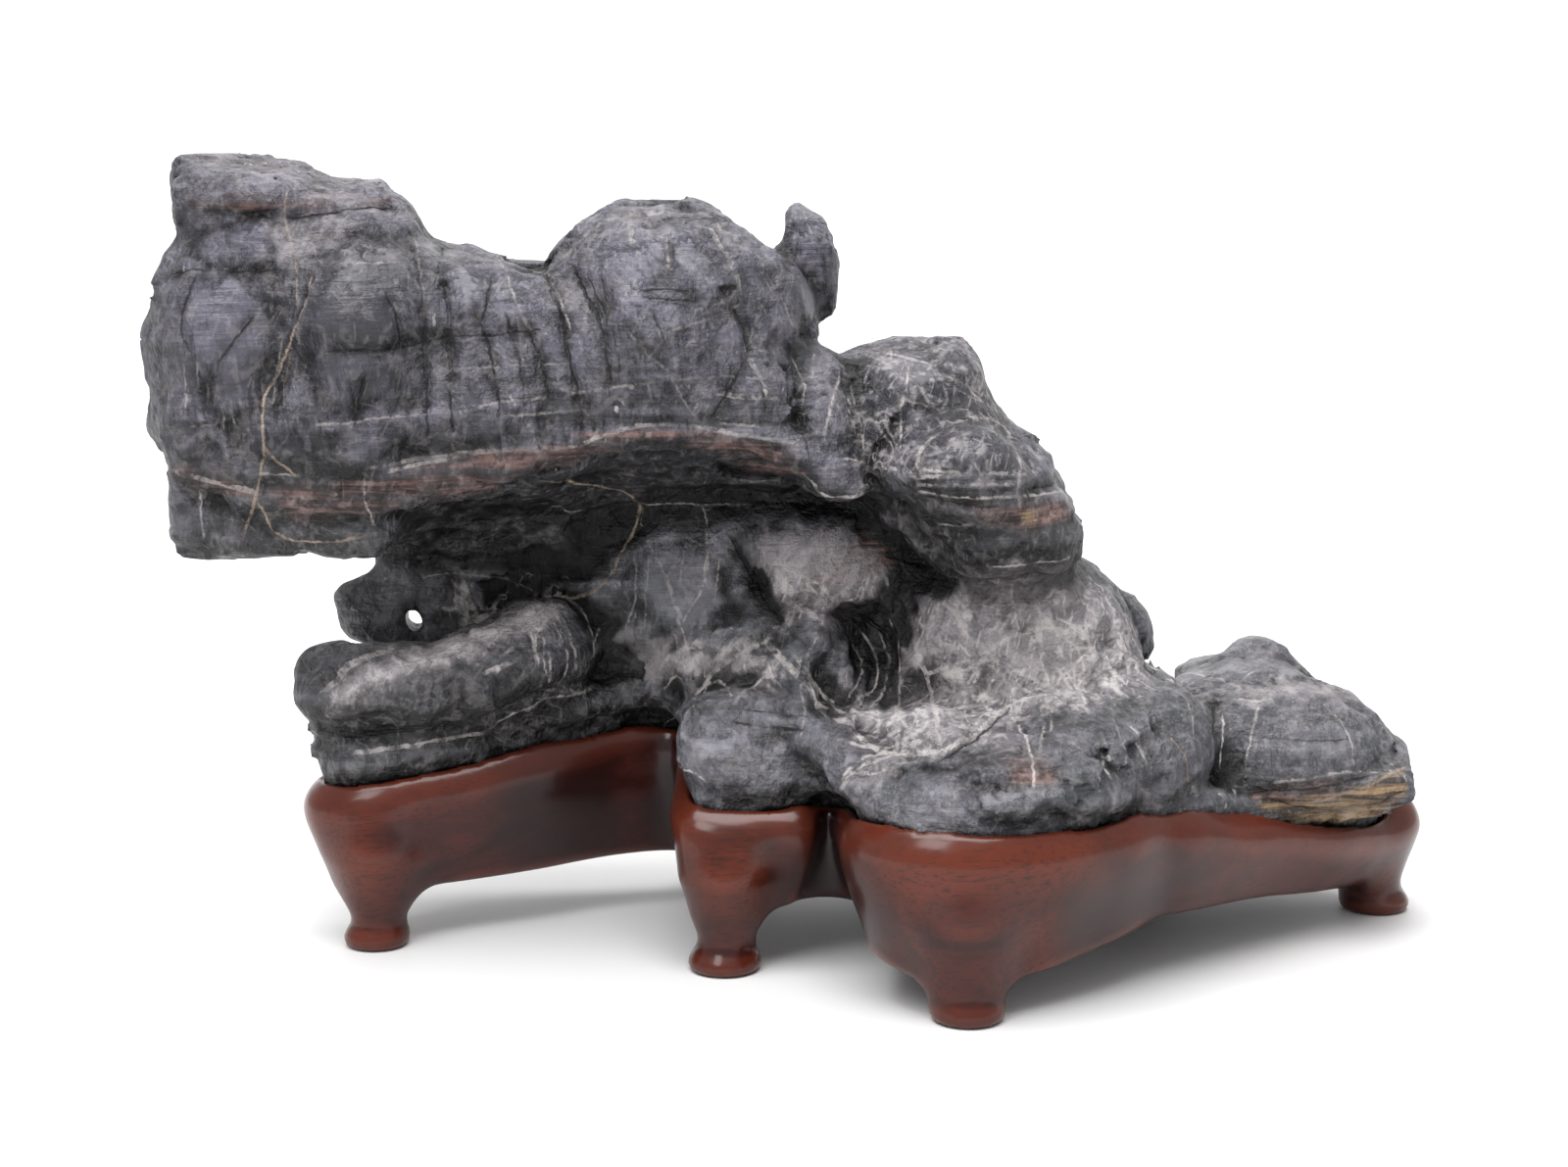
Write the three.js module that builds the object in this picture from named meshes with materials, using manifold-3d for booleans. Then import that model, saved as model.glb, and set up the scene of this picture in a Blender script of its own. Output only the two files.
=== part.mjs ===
// A dark limestone viewing stone on its carved hardwood stand.
// Millimetres, +Z up. The side meant to be seen faces -Y and the long way runs along X.
// The origin lies at table height, under the middle of the whole object.
//
// The stone is one piece. Its overhanging crest, its cave, its arm and its foot are rounded
// lumps that flow into each other, so it is described by a distance field: each lump gives a
// distance, a smooth minimum joins them, and hollows are taken out in the same way.
// The stand is one block of wood: a lobed wall that follows the stone's base, a seat cut to
// the stone's own underside, and feet that sweep out into toes.

import * as THREE from "three";
import { MarchingCubes } from "three/addons/objects/MarchingCubes.js";
import { SimplifyModifier } from "three/addons/modifiers/SimplifyModifier.js";
import { mergeVertices } from "three/addons/utils/BufferGeometryUtils.js";
import Module from "manifold-3d";

// Driving dimensions.
const seatClearance = 1.7; // air between the stone's underside and the wood
const seatDepth = 13; // how far the stone sinks below the rim of the stand
const rimWidth = 8; // wood left outside the stone at the rim
const rimRound = 9; // softness of the stand's upper edge
const wallBelly = 3; // how far the wall swells out below its rim
const wallTuck = 12; // how far it draws in again at its lower edge
const footSpread = 12.5; // radius of a toe
const ankleRadius = 11.5;
const windowWidth = 7; // the hole through the thin wall of the cave
const windowHeight = 9;
const stoneTriangles = 6250;
const standTriangles = 3500;

// Where the object's middle at table height lies in the coordinates used below.
const middle = new THREE.Vector3(7.84, 18.02, 0);

// Distance fields. All take a point's x, y, z and give millimetres, negative inside.

const degrees = Math.PI / 180;

function smoothMin(a, b, k) {
  const h = Math.max(k - Math.abs(a - b), 0) / k;
  return Math.min(a, b) - (h * h * k) / 4;
}

function smoothMax(a, b, k) {
  return -smoothMin(-a, -b, k);
}

// The matrix that turns a point of the part into a lump's own axes.
function axesOf([yaw = 0, pitch = 0, roll = 0] = []) {
  const turned = new THREE.Matrix4().makeRotationFromEuler(
    new THREE.Euler(roll * degrees, pitch * degrees, yaw * degrees, "ZYX"),
  );
  return turned.invert().elements;
}

// A lump: an ellipsoid with its middle, its three radii and its yaw, pitch and roll in degrees.
// Pitch lowers the +X end and roll raises the +Y end.
function lump([cx, cy, cz], [rx, ry, rz], turn) {
  const m = axesOf(turn);
  return (px, py, pz) => {
    const dx = px - cx;
    const dy = py - cy;
    const dz = pz - cz;
    const x = (m[0] * dx + m[4] * dy + m[8] * dz) / rx;
    const y = (m[1] * dx + m[5] * dy + m[9] * dz) / ry;
    const z = (m[2] * dx + m[6] * dy + m[10] * dz) / rz;
    const length = Math.hypot(x, y, z);
    const slope = Math.hypot(x / rx, y / ry, z / rz);
    return slope < 1e-6 ? -Math.min(rx, ry, rz) : (length * (length - 1)) / slope;
  };
}

// A slab: a box with its middle, its half sizes, the round of its edges and its turn.
function slab([cx, cy, cz], [hx, hy, hz], round, turn) {
  const m = axesOf(turn);
  return (px, py, pz) => {
    const dx = px - cx;
    const dy = py - cy;
    const dz = pz - cz;
    const x = Math.abs(m[0] * dx + m[4] * dy + m[8] * dz) - hx + round;
    const y = Math.abs(m[1] * dx + m[5] * dy + m[9] * dz) - hy + round;
    const z = Math.abs(m[2] * dx + m[6] * dy + m[10] * dz) - hz + round;
    const out = Math.hypot(Math.max(x, 0), Math.max(y, 0), Math.max(z, 0));
    return out + Math.min(Math.max(x, y, z), 0) - round;
  };
}

// A limb: a round bar between two points whose radius goes from ra to rb.
function limb([ax, ay, az], [bx, by, bz], ra, rb) {
  const ux = bx - ax;
  const uy = by - ay;
  const uz = bz - az;
  const square = ux * ux + uy * uy + uz * uz;
  return (px, py, pz) => {
    const along = ((px - ax) * ux + (py - ay) * uy + (pz - az) * uz) / square;
    const t = Math.min(Math.max(along, 0), 1);
    return Math.hypot(px - ax - ux * t, py - ay - uy * t, pz - az - uz * t) - ra - (rb - ra) * t;
  };
}

// Slow waves that keep any lump from looking turned on a lathe.
function wander(x, y, z, reach) {
  const s = 1 / reach;
  return (
    Math.sin(1.7 * s * x + 2.3 * Math.sin(0.9 * s * z + 1.1) + 0.6 * s * y) * 0.5 +
    Math.sin(2.1 * s * z + 1.9 * Math.sin(1.3 * s * y + 0.4) - 0.8 * s * x) * 0.3 +
    Math.sin(2.9 * s * y + 1.3 * Math.sin(1.6 * s * x + 2.2) + 1.1 * s * z) * 0.2
  );
}

// The belly line of the stand, seen from above, with the height of the rim and of the wall's
// lower edge at each point: x, y, rim, lower edge.
const wallLine = [
  [-191, 24, 70, 22],
  [-184, 6, 71, 22],
  [-163, -2, 74, 20],
  [-130, 6, 79, 22],
  [-95, 21, 85, 23],
  [-62, 37, 90, 25],
  [-45, 39, 90, 26],
  [-43, 18, 83, 26],
  [-44, -12, 73, 26],
  [-38, -27, 70, 24],
  [-12, -30, 70, 24],
  [10, -27, 70, 24],
  [17, -18, 73, 24],
  [20, -32, 75, 20],
  [22, -62, 77, 16],
  [38, -83, 79, 14],
  [66, -92, 79, 13],
  [98, -84, 79, 14],
  [124, -66, 78, 18],
  [141, -53, 77, 22],
  [156, -40, 73, 24],
  [190, -12, 63, 22],
  [228, 18, 54, 17],
  [251, 42, 49, 13],
  [257, 62, 49, 12],
  [249, 86, 50, 13],
  [222, 108, 57, 18],
  [176, 124, 64, 22],
  [120, 130, 68, 23],
  [60, 124, 70, 24],
  [0, 116, 74, 26],
  [-60, 108, 76, 29],
  [-118, 96, 74, 28],
  [-160, 74, 71, 25],
  [-184, 48, 70, 23],
];

const wallCurve = new THREE.CatmullRomCurve3(
  wallLine.map(([x, y]) => new THREE.Vector3(x, y, 0)),
  true,
  "centripetal",
);
const wallSteps = 8 * wallLine.length;
const wallPoints = Array.from({ length: wallSteps }, (_, i) => {
  const at = (i / wallSteps) * wallLine.length;
  const [, , rimA, lowA] = wallLine[Math.floor(at)];
  const [, , rimB, lowB] = wallLine[(Math.floor(at) + 1) % wallLine.length];
  const part = THREE.MathUtils.smoothstep(at % 1, 0, 1);
  const spot = wallCurve.getPoint(i / wallSteps);
  return { x: spot.x, y: spot.y, rim: rimA + (rimB - rimA) * part, low: lowA + (lowB - lowA) * part };
});

// Distance to the belly line at x, y, negative inside, and the rim and lower edge near there.
function planAt(x, y) {
  let nearest = 1e9;
  let inside = false;
  let weights = 0;
  let rim = 0;
  let low = 0;
  for (let i = 0, j = wallPoints.length - 1; i < wallPoints.length; j = i++) {
    const a = wallPoints[j];
    const b = wallPoints[i];
    const ux = b.x - a.x;
    const uy = b.y - a.y;
    const along = ((x - a.x) * ux + (y - a.y) * uy) / (ux * ux + uy * uy);
    const t = Math.min(Math.max(along, 0), 1);
    const square = (x - a.x - ux * t) ** 2 + (y - a.y - uy * t) ** 2;
    nearest = Math.min(nearest, square);
    const weight = 1 / (square + 30) ** 2;
    weights += weight;
    rim += weight * b.rim;
    low += weight * b.low;
    if (a.y > y !== b.y > y && x < a.x + (ux * (y - a.y)) / uy) inside = !inside;
  }
  const edge = Math.sqrt(nearest) * (inside ? -1 : 1);
  return { x, y, edge, rim: rim / weights, low: low / weights };
}

// The same, kept for every point of a column once it has been worked out.
const columns = new Map();
function planOf(x, y) {
  const key = Math.round(x * 64) * 65536 + Math.round(y * 64);
  if (!columns.has(key)) columns.set(key, planAt(x, y));
  return columns.get(key);
}

// The stone. Each entry is a shape and the softness of its join to what came before it.

const crest = [
  // the head: a block that hangs out over the left end, swollen in front, capped by a flat bed
  [slab([-188, 18, 244], [43, 46, 46], 24), 1],
  [lump([-212, 14, 235], [31, 44, 34]), 8],
  [lump([-214, 16, 212], [30, 42, 23]), 8],
  [lump([-207, -3, 245], [29, 39, 37]), 12],
  [lump([-160, -5, 244], [35, 41, 40]), 10],
  [lump([-174, -6, 213], [38, 37, 24]), 9],
  [slab([-186, 8, 207], [45, 44, 21], 14), 8],
  [slab([-205, 20, 294], [23, 44, 12], 8, [4, 2, 5]), 6],
  [slab([-186, 20, 289], [34, 44, 12], 8, [4, 12, 5]), 6],
  [lump([-156, 18, 281], [19, 40, 15], [0, 20, 0]), 6],
  [lump([-188, 46, 236], [38, 28, 42]), 10],
  // the neck between head and dome
  [lump([-142, 14, 253], [31, 44, 26]), 6],
  [slab([-108, 16, 231], [48, 46, 36], 20, [0, 13, 0]), 9],
  [lump([-118, -4, 216], [40, 36, 24]), 10],
  [lump([-112, 46, 222], [46, 28, 34]), 12],
  // the dome
  [lump([-47, 14, 246], [49, 53, 46]), 7],
  [slab([-42, 8, 224], [48, 44, 20], 18, [0, 2, 0]), 10],
  [lump([-12, 20, 240], [23, 42, 34]), 8],
  [lump([-44, 50, 222], [44, 34, 36]), 12],
  // the crumbling column between dome and shoulder
  [lump([14, 6, 208], [12, 33, 29]), 4],
  // the shoulder and the bulb that hangs from it
  [lump([50, 26, 203], [36, 52, 37]), 4],
  [lump([75, 14, 178], [35, 50, 31], [0, 24, 0]), 7],
  [lump([83, 8, 167], [34, 46, 20], [0, 6, 0]), 6],
  [lump([64, -26, 193], [29, 19, 19], [0, 16, 0]), 9],
  [lump([44, 62, 190], [34, 34, 34]), 12],
];

const horn = [
  [slab([7, 50, 258], [11.5, 19, 24], 9, [6, 4, 0]), 1],
  [limb([9, 48, 272], [7, 46, 285], 6, 2.5), 5],
];

// the ledge that runs along the foot of the crest, over the cave
const lip = [
  [-222, -6, 191],
  [-196, -26, 188],
  [-160, -28, 188],
  [-104, -28, 198],
  [-62, -28, 208],
  [-30, -28, 211],
  [-4, -26, 204],
  [20, -26, 190],
];

const roof = [
  // the bed under the head
  [slab([-189, 22, 177], [42, 47, 16], 8, [2, 0, 0]), 1],
  [lump([-176, 44, 172], [44, 28, 15]), 8],
  // the roof of the cave, which falls away to the back
  [slab([-128, 34, 184], [44, 54, 16], 9, [0, -9, -18]), 8],
  [slab([-40, 38, 194], [62, 56, 18], 9, [0, -2, -24]), 12],
  [lump([-96, 66, 176], [66, 30, 30]), 14],
];

const base = [
  // the thin wall at the back of the cave
  [slab([-104, 66, 132], [62, 8, 44], 6, [-4, 0, 0]), 1],
  [slab([-160, 68, 126], [20, 7, 18], 6, [-4, 20, 0]), 3],
  [lump([-72, 66, 128], [60, 26, 52]), 14],
  // the arm in front of the cave, and the bed it lies on
  [limb([-170, 13, 101], [-146, 16, 101], 19, 18.5), 5],
  [limb([-146, 16, 101], [-97, 27, 114], 18.5, 22), 4],
  [slab([-118, 50, 84], [69, 33, 12], 6, [17, -7, 0]), 2],
  // the heart of the stone, hidden behind the skirt
  [lump([4, 66, 128], [88, 50, 66]), 18],
  [lump([28, 38, 148], [38, 30, 32]), 7],
  [lump([22, 34, 112], [60, 40, 32]), 12],
  // the far side
  [lump([-82, 80, 86], [84, 30, 34], [-6, 0, 0]), 12],
  [lump([56, 92, 98], [80, 32, 40], [0, 12, 0]), 16],
  [lump([136, 90, 68], [60, 34, 19], [0, 4, 0]), 12],
  // the low lump in the middle
  [slab([-11, 16, 83], [31, 40, 22], 14, [4, 3, 0]), 8],
  // the slope under the bulb, the gutter's floor, and the foot that the slope runs out into
  [lump([92, 34, 118], [50, 54, 42], [0, 22, 0]), 12],
  [lump([134, 52, 118], [13, 16, 18]), 5],
  [lump([48, -20, 86], [38, 34, 20], [0, 0, -14]), 12],
  [lump([79, -44, 77], [52, 44, 22], [10, -7, 0]), 12],
  [lump([116, -4, 86], [56, 48, 28], [30, 4, 0]), 12],
  // the tail
  [lump([202, 46, 73], [47, 50, 29], [0, 16, 0]), 12],
  [lump([197, 72, 88], [22, 26, 23], [0, 6, 0]), 8],
  [lump([178, 84, 91], [11, 14, 10]), 4],
  [slab([202, 46, 60], [47, 46, 14], 10, [0, 4, 0]), 3],
];

const hollows = [
  // the gutter that the slope's folds wrap round, and the small hollow beside it
  [limb([35, 1, 127], [27, -72, 103], 16, 20), 9],
  [lump([14, -10, 112], [8, 15, 10]), 6],
  // the crease that parts the skirt's two folds
  [limb([-22, 12, 171], [3, -1, 134], 6, 7.5), 6],
];

// the ridge between the gutter and the low lump beside it
const ridge = [
  [-12, 16, 118],
  [0, 2, 107],
  [13, -20, 91],
  [24, -44, 82],
  [44, -62, 80],
];

// A round bar that follows a row of points.
function bar(points, radius) {
  return points.slice(1).map((end, i) => limb(points[i], end, radius, radius));
}

const ledge = bar(lip, 8);
const ridgeLine = bar(ridge, 7);

function join(pieces, x, y, z) {
  let d = 1e3;
  for (const [piece, softness] of pieces) d = smoothMin(d, piece(x, y, z), softness);
  return d;
}

function stoneField(px, py, pz) {
  const x = px + 2.6 * wander(px, py, pz, 34) + 1.1 * wander(pz, py, px, 13);
  const y = py + 2.4 * wander(py, pz, px, 29) + 1.8 * wander(px, pz, py, 15);
  const z = pz + 2 * wander(pz, px, py, 31) + 0.9 * wander(py, px, pz, 12);
  let d = join(crest, x, y, z);
  d = smoothMin(d, join(horn, x, y, z), 7);
  d = smoothMin(d, join(roof, x, y, z), 5);
  for (const piece of ledge) d = smoothMin(d, piece(x, y, z), 5);
  let low = join(base, x, y, z);
  for (const [piece, softness] of hollows) low = smoothMax(low, -piece(x, y, z), softness);
  for (const piece of ridgeLine) low = smoothMin(low, piece(x, y, z), 8);
  d = smoothMin(d, low, 7);
  // below the rim of the stand the stone keeps inside the wall, and its root fills the seat
  const { edge, rim } = planOf(px, py);
  const below = THREE.MathUtils.smoothstep(pz, rim - 6, rim + 16);
  d = smoothMax(d, edge + rimWidth * (1 - below) - 60 * below, 6);
  const root = smoothMax(edge + rimWidth + 1, Math.abs(pz - rim + 6) - seatDepth + 5, 5);
  d = smoothMin(d, root, 5);
  return smoothMax(d, rim - seatDepth - pz, 4);
}

// The stand's wall: out at the belly, in at the lower edge, rounded over at the rim.
function wallField({ edge, rim, low }, z) {
  const t = (rim - z) / (rim - low);
  const lean =
    wallTuck * THREE.MathUtils.smoothstep(t, 0.3, 1.1) +
    wallBelly * (1 - THREE.MathUtils.smoothstep(t, 0, 0.3));
  const side = edge + lean;
  return smoothMax(smoothMax(side, z - rim, rimRound), low - z, 6);
}

// Feet: where each stands, the first four in sight and the others under the far side.
const feet = [
  [-160, 12],
  [-22, -18],
  [66, -76],
  [243, 61],
  [150, 112],
  [-24, 98],
].map(([x, y]) => [
  limb([x, y, 36], [x, y, 9], 17, ankleRadius),
  lump([x, y, 3], [footSpread, footSpread, 6.5]),
]);

function standField(x, y, z) {
  const plan = planOf(x, y);
  let d = wallField(plan, z);
  for (const [leg, toe] of feet) {
    const foot = smoothMin(leg(x, y, z), toe(x, y, z), 7);
    d = smoothMin(d, foot, 12);
  }
  d = Math.max(d, -z, z - plan.rim);
  if (d > 6) return d;
  return smoothMax(d, seatClearance - stoneField(x, y, z), 1.5);
}

// The skin of a field inside a box, as a mesh with about the given number of triangles.
async function skinOf(field, low, high, cells, triangles) {
  const centre = low.clone().add(high).multiplyScalar(0.5);
  const half = high.clone().sub(low).multiplyScalar(0.5);
  const grid = new MarchingCubes(cells, undefined, false, false, 600000);
  grid.isolation = 0;
  const spot = (i) => (i - grid.halfsize) / grid.halfsize;
  for (let k = 0; k < cells; k++) {
    const z = centre.z + half.z * spot(k);
    for (let j = 0; j < cells; j++) {
      const y = centre.y + half.y * spot(j);
      for (let i = 0; i < cells; i++) {
        const x = centre.x + half.x * spot(i);
        grid.field[i + j * cells + k * cells * cells] = -field(x, y, z);
      }
    }
  }
  grid.update();
  const places = grid.positionArray.slice(0, grid.count * 3);
  const raw = new THREE.BufferGeometry();
  raw.setAttribute("position", new THREE.BufferAttribute(places, 3));
  raw.scale(half.x, half.y, half.z);
  raw.translate(centre.x, centre.y, centre.z);
  const fine = withoutSlivers(mergeVertices(raw, 0.01));
  const spare = fine.attributes.position.count - Math.round(triangles / 2);
  return new SimplifyModifier().modify(fine, Math.max(spare, 0));
}

// Drops the faces that lost a corner when near vertices were merged.
function withoutSlivers(geometry) {
  const old = geometry.index.array;
  const kept = [];
  for (let i = 0; i < old.length; i += 3) {
    const [a, b, c] = [old[i], old[i + 1], old[i + 2]];
    if (a !== b && b !== c && c !== a) kept.push(a, b, c);
  }
  geometry.setIndex(kept);
  return geometry;
}

const darkLimestone = new THREE.MeshStandardMaterial({
  color: 0x3d3d42,
  roughness: 0.62,
  metalness: 0,
});
const stainedHardwood = new THREE.MeshStandardMaterial({
  color: 0x4a1d12,
  roughness: 0.32,
  metalness: 0,
});

const stoneSkin = await skinOf(
  stoneField,
  new THREE.Vector3(-258, -100, 20),
  new THREE.Vector3(268, 150, 320),
  116,
  stoneTriangles,
);

// The small window worn through the thin wall of the cave, a slanting oval.
const windowBore = new THREE.CylinderGeometry(1, 1, 60, 14);
windowBore.scale(windowWidth / 2, 1, windowHeight / 2);
windowBore.rotateY(-20 * degrees);
windowBore.rotateX(5 * degrees);
windowBore.translate(-151, 68, 121);

const wasm = await Module();
wasm.setup();

// A closed geometry as a solid that can be cut.
function solidOf(geometry) {
  const bare = geometry.clone();
  bare.deleteAttribute("normal");
  bare.deleteAttribute("uv");
  const merged = mergeVertices(bare, 1e-3);
  return new wasm.Manifold(
    new wasm.Mesh({
      numProp: 3,
      vertProperties: merged.attributes.position.array,
      triVerts: new Uint32Array(merged.index.array),
    }),
  );
}

function geometryOf(solid) {
  const { vertProperties, triVerts } = solid.getMesh();
  const geometry = new THREE.BufferGeometry();
  geometry.setAttribute("position", new THREE.BufferAttribute(vertProperties, 3));
  geometry.setIndex(new THREE.BufferAttribute(triVerts, 1));
  geometry.computeVertexNormals();
  return geometry;
}

const piercedStone = solidOf(stoneSkin).subtract(solidOf(windowBore));
const stone = new THREE.Mesh(geometryOf(piercedStone), darkLimestone);
stone.name = "stone";

const standSkin = await skinOf(
  standField,
  new THREE.Vector3(-200, -106, -10),
  new THREE.Vector3(276, 146, 96),
  128,
  standTriangles,
);
const stand = new THREE.Mesh(standSkin, stainedHardwood);
stand.name = "stand";

const object = new THREE.Group();
object.add(stone, stand);
object.position.copy(middle).negate();

export default object;
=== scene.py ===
"""A dark limestone viewing stone on its carved and lacquered hardwood stand.

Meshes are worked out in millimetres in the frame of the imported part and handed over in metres.
"""

import math

import bmesh
import bpy
import numpy as np
import openvdb as vdb
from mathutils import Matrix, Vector
from mathutils.bvhtree import BVHTree


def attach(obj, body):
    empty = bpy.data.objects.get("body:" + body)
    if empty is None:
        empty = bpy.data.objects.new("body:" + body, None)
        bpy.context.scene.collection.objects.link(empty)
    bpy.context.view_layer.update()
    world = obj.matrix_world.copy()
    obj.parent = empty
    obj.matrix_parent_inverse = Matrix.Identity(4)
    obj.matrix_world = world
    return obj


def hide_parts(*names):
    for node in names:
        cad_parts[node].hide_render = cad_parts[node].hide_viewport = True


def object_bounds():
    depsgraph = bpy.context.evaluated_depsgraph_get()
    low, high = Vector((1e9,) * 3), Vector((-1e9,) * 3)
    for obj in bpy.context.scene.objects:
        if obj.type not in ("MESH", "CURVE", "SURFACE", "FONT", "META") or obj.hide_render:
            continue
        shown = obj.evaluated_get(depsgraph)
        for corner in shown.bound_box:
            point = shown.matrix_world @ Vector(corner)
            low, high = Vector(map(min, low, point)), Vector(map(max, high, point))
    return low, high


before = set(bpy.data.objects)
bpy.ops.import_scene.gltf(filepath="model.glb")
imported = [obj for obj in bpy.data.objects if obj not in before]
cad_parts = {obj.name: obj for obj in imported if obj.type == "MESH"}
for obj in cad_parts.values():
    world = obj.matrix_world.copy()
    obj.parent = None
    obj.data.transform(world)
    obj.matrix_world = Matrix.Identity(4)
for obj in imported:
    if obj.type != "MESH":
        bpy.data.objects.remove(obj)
cad_low, cad_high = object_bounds()

# The stone
# One natural piece of layered limestone, worn by water and by hands, standing loose in its seat.
# The solid has its lumps and hollows; its beds, wrinkles, cracks and worn faces are cut here into
# a fine distance grid of it. Dust, veins and stains are only colour.
# Shade in the hollows, the cave and underneath, and sheen on some faces, are painted in as colour too.

step = 1.8  # mm between the samples of the grid
reach = 12.0  # mm on either side of the surface that the grid knows exactly
near_blur, far_blur = 14, 60  # passes that leave the form of a few mm, and of a few cm
margin = 8.0  # mm of air round the object
first = np.floor((np.array(cad_low) * 1000 - margin) / step).astype(int)
counts = np.ceil((np.array(cad_high) * 1000 + margin) / step).astype(int) - first


def shell_of(node):
    """The points in mm and the triangles of a CAD node."""
    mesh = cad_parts[node].data
    mesh.calc_loop_triangles()
    points = np.empty(len(mesh.vertices) * 3, np.float32)
    corners = np.empty(len(mesh.loop_triangles) * 3, np.int32)
    mesh.vertices.foreach_get("co", points)
    mesh.loop_triangles.foreach_get("vertices", corners)
    return points.reshape(-1, 3) * 1000, corners.reshape(-1, 3)


def distance_to(points, corners):
    """Signed distance in mm from each sample of the grid to a closed shell, negative inside."""
    shell = vdb.FloatGrid.createLevelSetFromPolygons(
        points,
        triangles=corners.astype(np.uint32),
        transform=vdb.createLinearTransform(step),
        halfWidth=reach / step,
    )
    field = np.empty(counts, np.float32)
    shell.copyToArray(field, ijk=tuple(int(i) for i in first))
    return field


def softened(field, passes):
    """The field after so many passes of a 1-2-1 blur along each axis."""
    for _ in range(passes):
        for axis in range(3):
            inner = field.swapaxes(0, axis)
            blurred = inner.copy()
            blurred[1:-1] = (inner[:-2] + 2 * inner[1:-1] + inner[2:]) / 4
            field = blurred.swapaxes(0, axis)
    return np.ascontiguousarray(field)


def sampled(field, points):
    """The field's values at points given in mm."""
    at = np.clip(points / step - first, 0, np.array(field.shape) - 1.001)
    low = at.astype(int)
    part = at - low
    total = 0
    for corner in range(8):
        bits = np.array([corner & 1, corner >> 1 & 1, corner >> 2])
        share = np.prod(np.where(bits == 1, part, 1 - part), axis=1)
        total = total + share * field[tuple((low + bits).T)]
    return total


chance = np.random.default_rng(11)
slopes = chance.normal(size=(256, 3)).astype(np.float32)
slopes /= np.linalg.norm(slopes, axis=1)[:, None]
shuffle = chance.permutation(256)


def cloud(x, y, z, size, shift=0.0):
    """Smooth noise from about -1 to 1 whose lumps are about `size` mm across."""
    spots = [v / size + shift + 31.7 for v in (x, y, z)]
    cells = [np.floor(v).astype(np.int32) for v in spots]
    parts = [v - c for v, c in zip(spots, cells)]
    fades = [v * v * v * (v * (v * 6 - 15) + 10) for v in parts]
    total = np.zeros_like(parts[0])
    for a in (0, 1):
        row = shuffle[(cells[0] + a) & 255]
        share_a = fades[0] if a else 1 - fades[0]
        for b in (0, 1):
            line = shuffle[(row + cells[1] + b) & 255]
            share_b = share_a * (fades[1] if b else 1 - fades[1])
            for c in (0, 1):
                slope = slopes[shuffle[(line + cells[2] + c) & 255]]
                dot = (
                    slope[:, 0] * (parts[0] - a)
                    + slope[:, 1] * (parts[1] - b)
                    + slope[:, 2] * (parts[2] - c)
                )
                total += share_b * (fades[2] if c else 1 - fades[2]) * dot
    return total * 1.7


def plates(x, y, z, size):
    """Flat facets about `size` mm across, each with its own tilt: from about -1 to 1."""
    spots = [v / size + 17.3 for v in (x, y, z)]
    cells = [np.floor(v).astype(np.int32) for v in spots]
    parts = [v - c for v, c in zip(spots, cells)]
    nearest = np.full_like(parts[0], 9.0)
    tilt = np.zeros_like(parts[0])
    for a in (-1, 0, 1):
        for b in (-1, 0, 1):
            line = shuffle[(shuffle[(cells[0] + a) & 255] + cells[1] + b) & 255]
            for c in (-1, 0, 1):
                code = shuffle[(line + cells[2] + c) & 255]
                middle = slopes[code] * 0.4 + 0.5
                gap = [parts[i] - (a, b, c)[i] - middle[:, i] for i in range(3)]
                square = gap[0] ** 2 + gap[1] ** 2 + gap[2] ** 2
                lean = slopes[(code + 7) & 255]
                value = gap[0] * lean[:, 0] + gap[1] * lean[:, 1] + gap[2] * lean[:, 2]
                closer = square < nearest
                tilt = np.where(closer, value, tilt)
                nearest = np.where(closer, square, nearest)
    return tilt


def ease(value, low, high):
    """0 below low, 1 above high, smooth between."""
    t = np.clip((value - low) / (high - low), 0, 1)
    return t * t * (3 - 2 * t)


def within(value, low, high, soft):
    """1 between low and high, 0 outside, easing over `soft`."""
    return ease(value, low - soft, low + soft) * (1 - ease(value, high - soft, high + soft))


# Features are placed as they show from the front, in pixels of a picture 1600 wide and 1191 high,
# and laid on the solid along the line of sight.
eye = np.array([-7.84, -1033.02, 328.0])
focal = 2750.0
pitch = math.radians(10.1)
sight = np.array([[1, 0, 0], [0, math.cos(pitch), -math.sin(pitch)], [0, math.sin(pitch), math.cos(pitch)]])

stone_points, stone_corners = shell_of("stone")
stone_shell = BVHTree.FromPolygons(stone_points.tolist(), stone_corners.tolist())


def laid(pixels, shell=stone_shell):
    """The points of a solid, in mm, that show at some pixels of the front view."""
    spots = []
    for u, v in pixels:
        ray = sight.T @ [(u - 800) / focal, 1, (595.5 - v) / focal]
        spot = shell.ray_cast(Vector(eye), Vector(ray))[0]
        if spot:
            spots.append(spot)
    return np.array(spots)


def shown(points):
    """The pixels of the front view where points show, and their distances ahead in mm."""
    right, ahead, up = sight @ (points - eye).T
    return np.stack([800 + focal * right / ahead, 595.5 - focal * up / ahead], axis=1), ahead


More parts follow.
